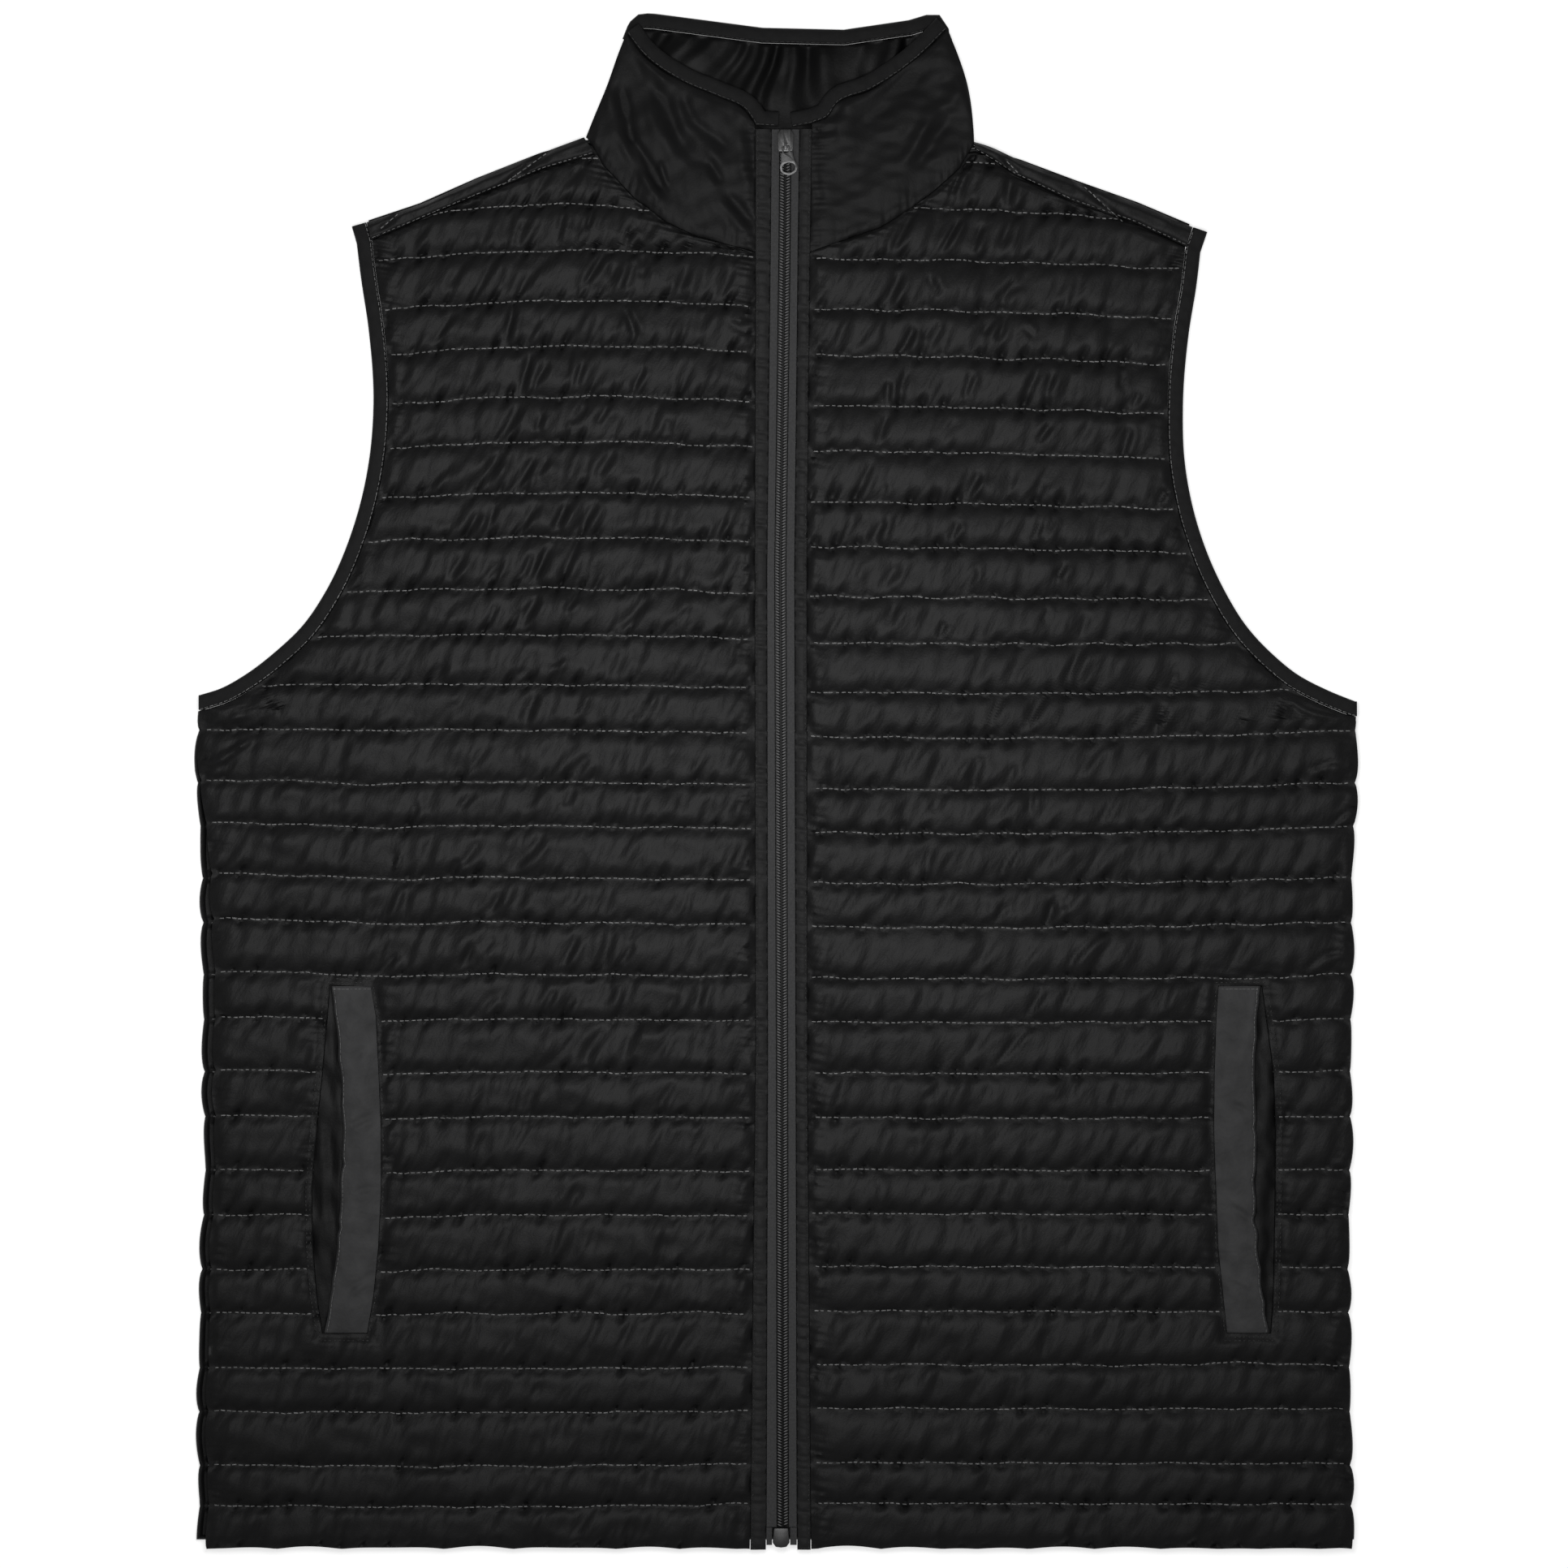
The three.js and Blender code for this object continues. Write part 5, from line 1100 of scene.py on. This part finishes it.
def build_pocket(side, front_grid, draw):
    """The pocket's inside, near-black with painted shade, its welt, and the dark stitching round both."""
    outer_column, free_column, sewn_column = POCKET_COLUMN[side]
    inwards = -OUT_X[side]
    ys = np.linspace(POCKETS[0, 0] + SEAM_GAP, POCKETS[-1, 0] - SEAM_GAP, 120)
    outer = read(POCKETS, ys, outer_column) + inwards * SEAM_GAP
    free = read(POCKETS, ys, free_column) + inwards * SEAM_GAP
    sewn = read(POCKETS, ys, sewn_column) - inwards * SEAM_GAP
    seed = seed_of("pocket", side)
    ends = np.clip(np.minimum(ys - ys[0], ys[-1] - ys) / 12, 0, 1)
    free += inwards * 0.5 * np.abs(ripples(seed + 6, 38)(ys)) * ends
    for y, depth in WELT_NOTCHES[side]:
        free += inwards * depth * np.exp(-(((ys - y) / 2.5) ** 2))
    floor = FRONT_FLOOR + POCKET_LAYER_THICKNESS + SEAM_GAP
    shares = np.linspace(0, 1, 18)
    deep = strip_between(outer, sewn, ys, shares)
    folded = 0.3 * waves(seed, 22)(3 * deep[..., 0], deep[..., 1])
    layer_grid = with_height(deep, FRONT_FLOOR + POCKET_LAYER_THICKNESS - 0.3 + np.clip(folded, -0.5, 0.28))
    layer = closed_patch("pocket_layer_" + side + "_cloth", layer_grid, FRONT_FLOOR, "inside")
    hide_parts("pocket_layer_" + side)
    strip = strip_between(free, sewn, ys, shares)
    x, y = strip[..., 0], strip[..., 1]
    lift = np.interp(shares, [0, 0.05, 0.2, 0.5, 0.75, 1], [0.5, 0.9, 1, 1, 0.8, 0.5])
    full = (0.55 + 0.45 * np.sqrt(ends))[:, None] * lift[None]
    soft = 0.3 * waves(seed + 1, 30)(x, y) + 0.1 * waves(seed + 2, 9)(x, 0.7 * y)
    near_seam = np.exp(-(((1 - shares) * 23 / 5) ** 2))[None]
    pucker = 0.35 * np.abs(ripples(seed + 3, 7)(y)) * near_seam
    creases = folds_over(WELT_CREASES[side], x, y, 0.7)
    middle = np.sin(np.pi * np.clip(shares * 0.86 + 0.07, 0, 1))[None] * ends[:, None]
    height = full * WELT_THICKNESS + (soft - 1.2 * creases) * middle - pucker
    welt_grid = with_height(strip, floor + np.maximum(height, 0.5))
    welt = closed_patch("pocket_welt_" + side + "_cloth", welt_grid, floor, "welt")
    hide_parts("pocket_welt_" + side)
    # Painted highlight: a thin light line of long, barely raised dashes along the welt's pressed free edge
    # and top edge
    highlight_lines = [(welt_grid[:, 1, :2], welt_grid[:, 1, 2]), (welt_grid[-2, :, :2], welt_grid[-2, :, 2])]
    places = []
    for line, heights in highlight_lines:
        places += stitches_along(line, heights, draw, pitch=2.2, length=2.2, width=0.22,
                                 lift=0.02, slack=0.02)
    welt_fold_highlight = dashes("pocket_edge_highlight_" + side, places, "edge_thread_and_highlight")

    places = []
    out = OUT_X[side]
    low, high = POCKETS[0, 0], POCKETS[-1, 0]
    lines = [np.stack([sewn + inwards * 1.3, ys], axis=1),
             np.stack([outer - inwards * 1.3, ys], axis=1),
             np.stack([outer - inwards * 3.2, ys], axis=1)]
    for y in (high + 1.6, high + 3.6, low - 1.8, low - 3.6):
        at = high if y > high else low
        a = float(read(POCKETS, at, outer_column)) + out * 2
        b = float(read(POCKETS, at, sewn_column)) - out * 1.5
        lines.append(np.array([(a, y), (b, y)]))
    for line in lines:
        line = even(line, max(round(length_of(line) / 2), 4))
        places += stitches_along(line, height_on(front_grid, line), draw, pitch=2.4, length=1.5,
                                 width=0.5, lift=0.2)
    sewing = dashes("pocket_stitches_" + side, places, "placket_thread")


# The zip

def zip_x(column, y):
    return read(ZIP, y, ZIP_COLUMN[column])


def build_placket(side, draw):
    """The strip beside the zip, drawn into small uneven pleats by its stitching."""
    ys = np.arange(HEM_Y - 0.5, PLACKET_TOP_Y, 0.8)
    a, b = zip_x(side, ys), zip_x(side + "In", ys)
    shares = np.linspace(0, 1, 9)
    flat = strip_between(a, b, ys, shares)
    y = flat[..., 1]
    lift = np.interp(shares, [0, 0.33, 0.67, 1], [0.7, 1, 0.9, 0.5])
    seed = seed_of("placket", side)
    pleat = np.clip(ripples(seed, 5)(y + 0.15 * flat[..., 0]) - 0.2, 0, 2)
    pleat += 0.7 * np.abs(ripples(seed + 1, 13)(y))
    rows = np.array(ROWS[side][:-1])
    at_row = np.exp(-((np.abs(y[..., None] - rows + drop(side, rows, 1) - drop(side, rows, ROW_SHARE[side]))
                       .min(axis=2) / 1.3) ** 2))
    across = np.sin(np.pi * np.clip(shares * 0.85 + 0.08, 0, 1))[None]
    height = lift[None] * PLACKET_THICKNESS - (0.4 * pleat + 0.6 * at_row) * across
    grid = with_height(flat, FRONT_FLOOR + np.maximum(height, 0.6))
    obj = closed_patch("zip_placket_" + side + "_cloth", grid, FRONT_FLOOR, "placket", angle=70,
                       turned=(0, -1))
    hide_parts("zip_placket_" + side)
    sewing = dashes("placket_stitches_" + side, stitches_along(
        grid[:, 1, :2], grid[:, 1, 2], draw, pitch=2.45, length=1.3, width=0.42, slack=0.3),
        "placket_thread")
    tape = build_tape(side)


def build_tape(side):
    """The zip's woven tape, with the ribs of its weave along it."""
    inwards = -OUT_X[side]
    ys = np.arange(ZIP_BOTTOM_Y + SEAM_GAP, PLACKET_TOP_Y, 0.8)
    a = zip_x(side + "In", ys) + inwards * SEAM_GAP
    b = zip_x("middle", ys) - inwards * (CHAIN_HALF + SEAM_GAP)
    shares = np.linspace(0, 1, 14)
    rib = 0.14 * np.cos(2 * np.pi * shares * 3)[None]
    sunk = 0.35 * (shares < 0.02) + 0.35 * (shares > 0.93)
    grid = with_height(strip_between(a, b, ys, shares),
                       CHAIN_FLOOR + TAPE_THICKNESS * 0.95 + rib - sunk[None])
    obj = closed_patch("zip_tape_" + side + "_cloth", grid, CHAIN_FLOOR, "tape", angle=70)
    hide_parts("zip_tape_" + side)
    return obj


def build_teeth():
    """Two rows of coil teeth, each a rounded bar that slants down to the zip's middle."""
    vertices, faces = [], []
    ring = [(math.cos(a), math.sin(a)) for a in np.linspace(0, 2 * math.pi, 6, endpoint=False)]
    stations = [(0.45, 0.2, -0.3), (0.8, 0.4, 0.0), (1.5, 0.46, 0.12), (2.2, 0.42, 0.02),
                (2.65, 0.26, -0.35)]
    slant = 0.4
    for way in (-1, 1):
        y = ZIP_BOTTOM_Y + 1.2 + (0.0 if way < 0 else TOOTH_PITCH / 2)
        while y < CHAIN_TOP_Y - 0.8:
            middle = float(zip_x("middle", y))
            first = len(vertices)
            for out, radius, rise in stations:
                for cy, cz in ring:
                    vertices.append((middle + way * out, y + (out - 1.4) * slant + cy * radius,
                                     CHAIN_FLOOR + 1.75 + rise + cz * radius))
            for s in range(len(stations) - 1):
                for i in range(6):
                    j = (i + 1) % 6
                    a, b = first + s * 6, first + (s + 1) * 6
                    quad = (a + i, a + j, b + j, b + i)
                    faces.append(quad if way > 0 else quad[::-1])
            low = tuple(first + i for i in range(6))
            high = tuple(first + 24 + i for i in range(6))
            faces.append(low[::-1] if way > 0 else low)
            faces.append(high if way > 0 else high[::-1])
            y += TOOTH_PITCH
    small_parts("zip_teeth", vertices, faces, "coil")


def build_chain():
    """The cord and tape edges under the teeth, near-black: painted shade beside and between the teeth."""
    ys = np.arange(ZIP_BOTTOM_Y + SEAM_GAP, CHAIN_TOP_Y, 2.0)
    shares = np.linspace(-1, 1, 9)
    x = zip_x("middle", ys)[:, None] + CHAIN_HALF * shares[None]
    y = ys[:, None] + 0 * x
    height = 0.5 + 0.45 * np.exp(-((shares / 0.25) ** 2))
    grid = with_height(np.stack([x, y], axis=2), CHAIN_FLOOR + height[None] + 0 * x)
    obj = closed_patch("zip_chain_cord", grid, CHAIN_FLOOR, "inside", angle=70)
    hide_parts("zip_chain")


def bevelled(name, node, material, width, body):
    """A copy of a solid with its edges softened, in place of it."""
    source = frame["nodes"][node]
    mesh = source.data.copy()
    mesh.name = name
    obj = bpy.data.objects.new(name, mesh)
    bpy.context.scene.collection.objects.link(obj)
    obj.matrix_world = source.matrix_world
    bm = bmesh.new()
    bm.from_mesh(mesh)
    bmesh.ops.remove_doubles(bm, verts=bm.verts, dist=1e-6)
    bmesh.ops.dissolve_limit(bm, angle_limit=math.radians(1), verts=bm.verts, edges=bm.edges)
    sharp = [e for e in bm.edges if len(e.link_faces) == 2 and e.calc_face_angle(0) > math.radians(30)]
    bmesh.ops.bevel(bm, geom=sharp, offset=width * MM, segments=2, profile=0.6, affect="EDGES",
                    clamp_overlap=True)
    bm.to_mesh(mesh)
    bm.free()
    mesh.materials.clear()
    mesh.materials.append(MATERIALS[material])
    mesh.polygons.foreach_set("use_smooth", [True] * len(mesh.polygons))
    mesh.set_sharp_from_angle(angle=math.radians(40))
    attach(obj, body)
    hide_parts(node)


# The scene

def build_stage():
    material = bpy.data.materials.new("floor")
    material.use_nodes = True
    shader = material.node_tree.nodes["Principled BSDF"]
    shader.inputs["Base Color"].default_value = (0.95, 0.95, 0.95, 1)
    shader.inputs["Roughness"].default_value = 0.9
    shader.inputs["Specular IOR Level"].default_value = 0.1
    shader.inputs["Emission Color"].default_value = (1, 1, 1, 1)
    shader.inputs["Emission Strength"].default_value = 0.55
    # seen from below the floor lets the back show
    tree = material.node_tree
    clear = tree.nodes.new("ShaderNodeBsdfTransparent")
    mix = tree.nodes.new("ShaderNodeMixShader")
    tree.links.new(tree.nodes.new("ShaderNodeNewGeometry").outputs["Backfacing"], mix.inputs[0])
    tree.links.new(shader.outputs[0], mix.inputs[1])
    tree.links.new(clear.outputs[0], mix.inputs[2])
    tree.links.new(mix.outputs[0], tree.nodes["Material Output"].inputs["Surface"])
    bpy.ops.mesh.primitive_plane_add(size=8, location=(0, 0, -0.0004))
    floor = bpy.context.object
    floor.name = "floor"
    floor.data.materials.append(material)
    scene = bpy.context.scene
    world = bpy.data.worlds.new("studio")
    world.use_nodes = True
    world.node_tree.nodes["Background"].inputs["Color"].default_value = (1, 1, 1, 1)
    world.node_tree.nodes["Background"].inputs["Strength"].default_value = 0.3
    scene.world = world
    scene.view_settings.view_transform = "Standard"
    # a close soft light over the chest, and a broad one far above; both point straight down
    for name, place, size, power, spread in (("key", (-0.03, 0.06, 0.9), 0.42, 1.5, 95),
                                             ("fill", (0.0, 0.0, 6.0), 2.5, 28, 180)):
        light = bpy.data.lights.new(name, "AREA")
        light.size = size
        light.energy = power
        light.spread = math.radians(spread)
        lamp = bpy.data.objects.new(name, light)
        lamp.location = place
        scene.collection.objects.link(lamp)


def build_camera():
    camera = bpy.data.cameras.new("camera")
    camera.sensor_width = 36
    camera.lens = 200
    obj = bpy.data.objects.new("camera", camera)
    bpy.context.scene.collection.objects.link(obj)
    bpy.context.scene.camera = obj
    width = IMAGE_SIZE * PIXEL_MM * MM
    height = width / 2 / math.tan(math.atan(camera.sensor_width / 2 / camera.lens))
    obj.location = (VIEW_X * MM, VIEW_Y * MM, height + VIEW_FOCUS_Z * MM)
    obj.rotation_euler = (0, 0, 0)
    camera.clip_start, camera.clip_end = 0.1, 40


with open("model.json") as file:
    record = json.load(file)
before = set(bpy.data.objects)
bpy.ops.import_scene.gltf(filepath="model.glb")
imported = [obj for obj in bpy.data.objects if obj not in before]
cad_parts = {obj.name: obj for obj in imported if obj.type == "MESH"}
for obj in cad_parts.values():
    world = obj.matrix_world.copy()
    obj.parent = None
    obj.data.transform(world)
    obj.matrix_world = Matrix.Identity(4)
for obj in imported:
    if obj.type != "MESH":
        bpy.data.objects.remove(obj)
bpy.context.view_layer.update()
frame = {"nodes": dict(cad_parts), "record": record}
build_materials()
build_stage()
build_camera()
materials_of_slots = {"lining": "collar"}
for row in frame["record"]["subparts"]:
    slot = row["material_slot"]
    mesh = frame["nodes"][row["node"]].data
    mesh.materials.clear()
    mesh.materials.append(MATERIALS[materials_of_slots.get(slot, slot)])
draw = np.random.default_rng(5)
build_back(draw)
build_collar_back(draw)
for side in SIDE_NAMES:
    front_grid = build_front(side, draw)
    build_armhole(side, draw)
    build_shoulder(side, draw)
    build_collar_front(side, draw)
    build_pocket(side, front_grid, draw)
    build_placket(side, draw)
build_chain()
build_teeth()
bevelled("zip_slider_metal", "zip_slider", "zip", 0.15, "vest")
bevelled("zip_pull_tab_metal", "zip_pull_tab", "zip", 0.12, "pull_tab")
bevelled("zip_retainer_box", "zip_retainer", "zip", 0.4, "vest")
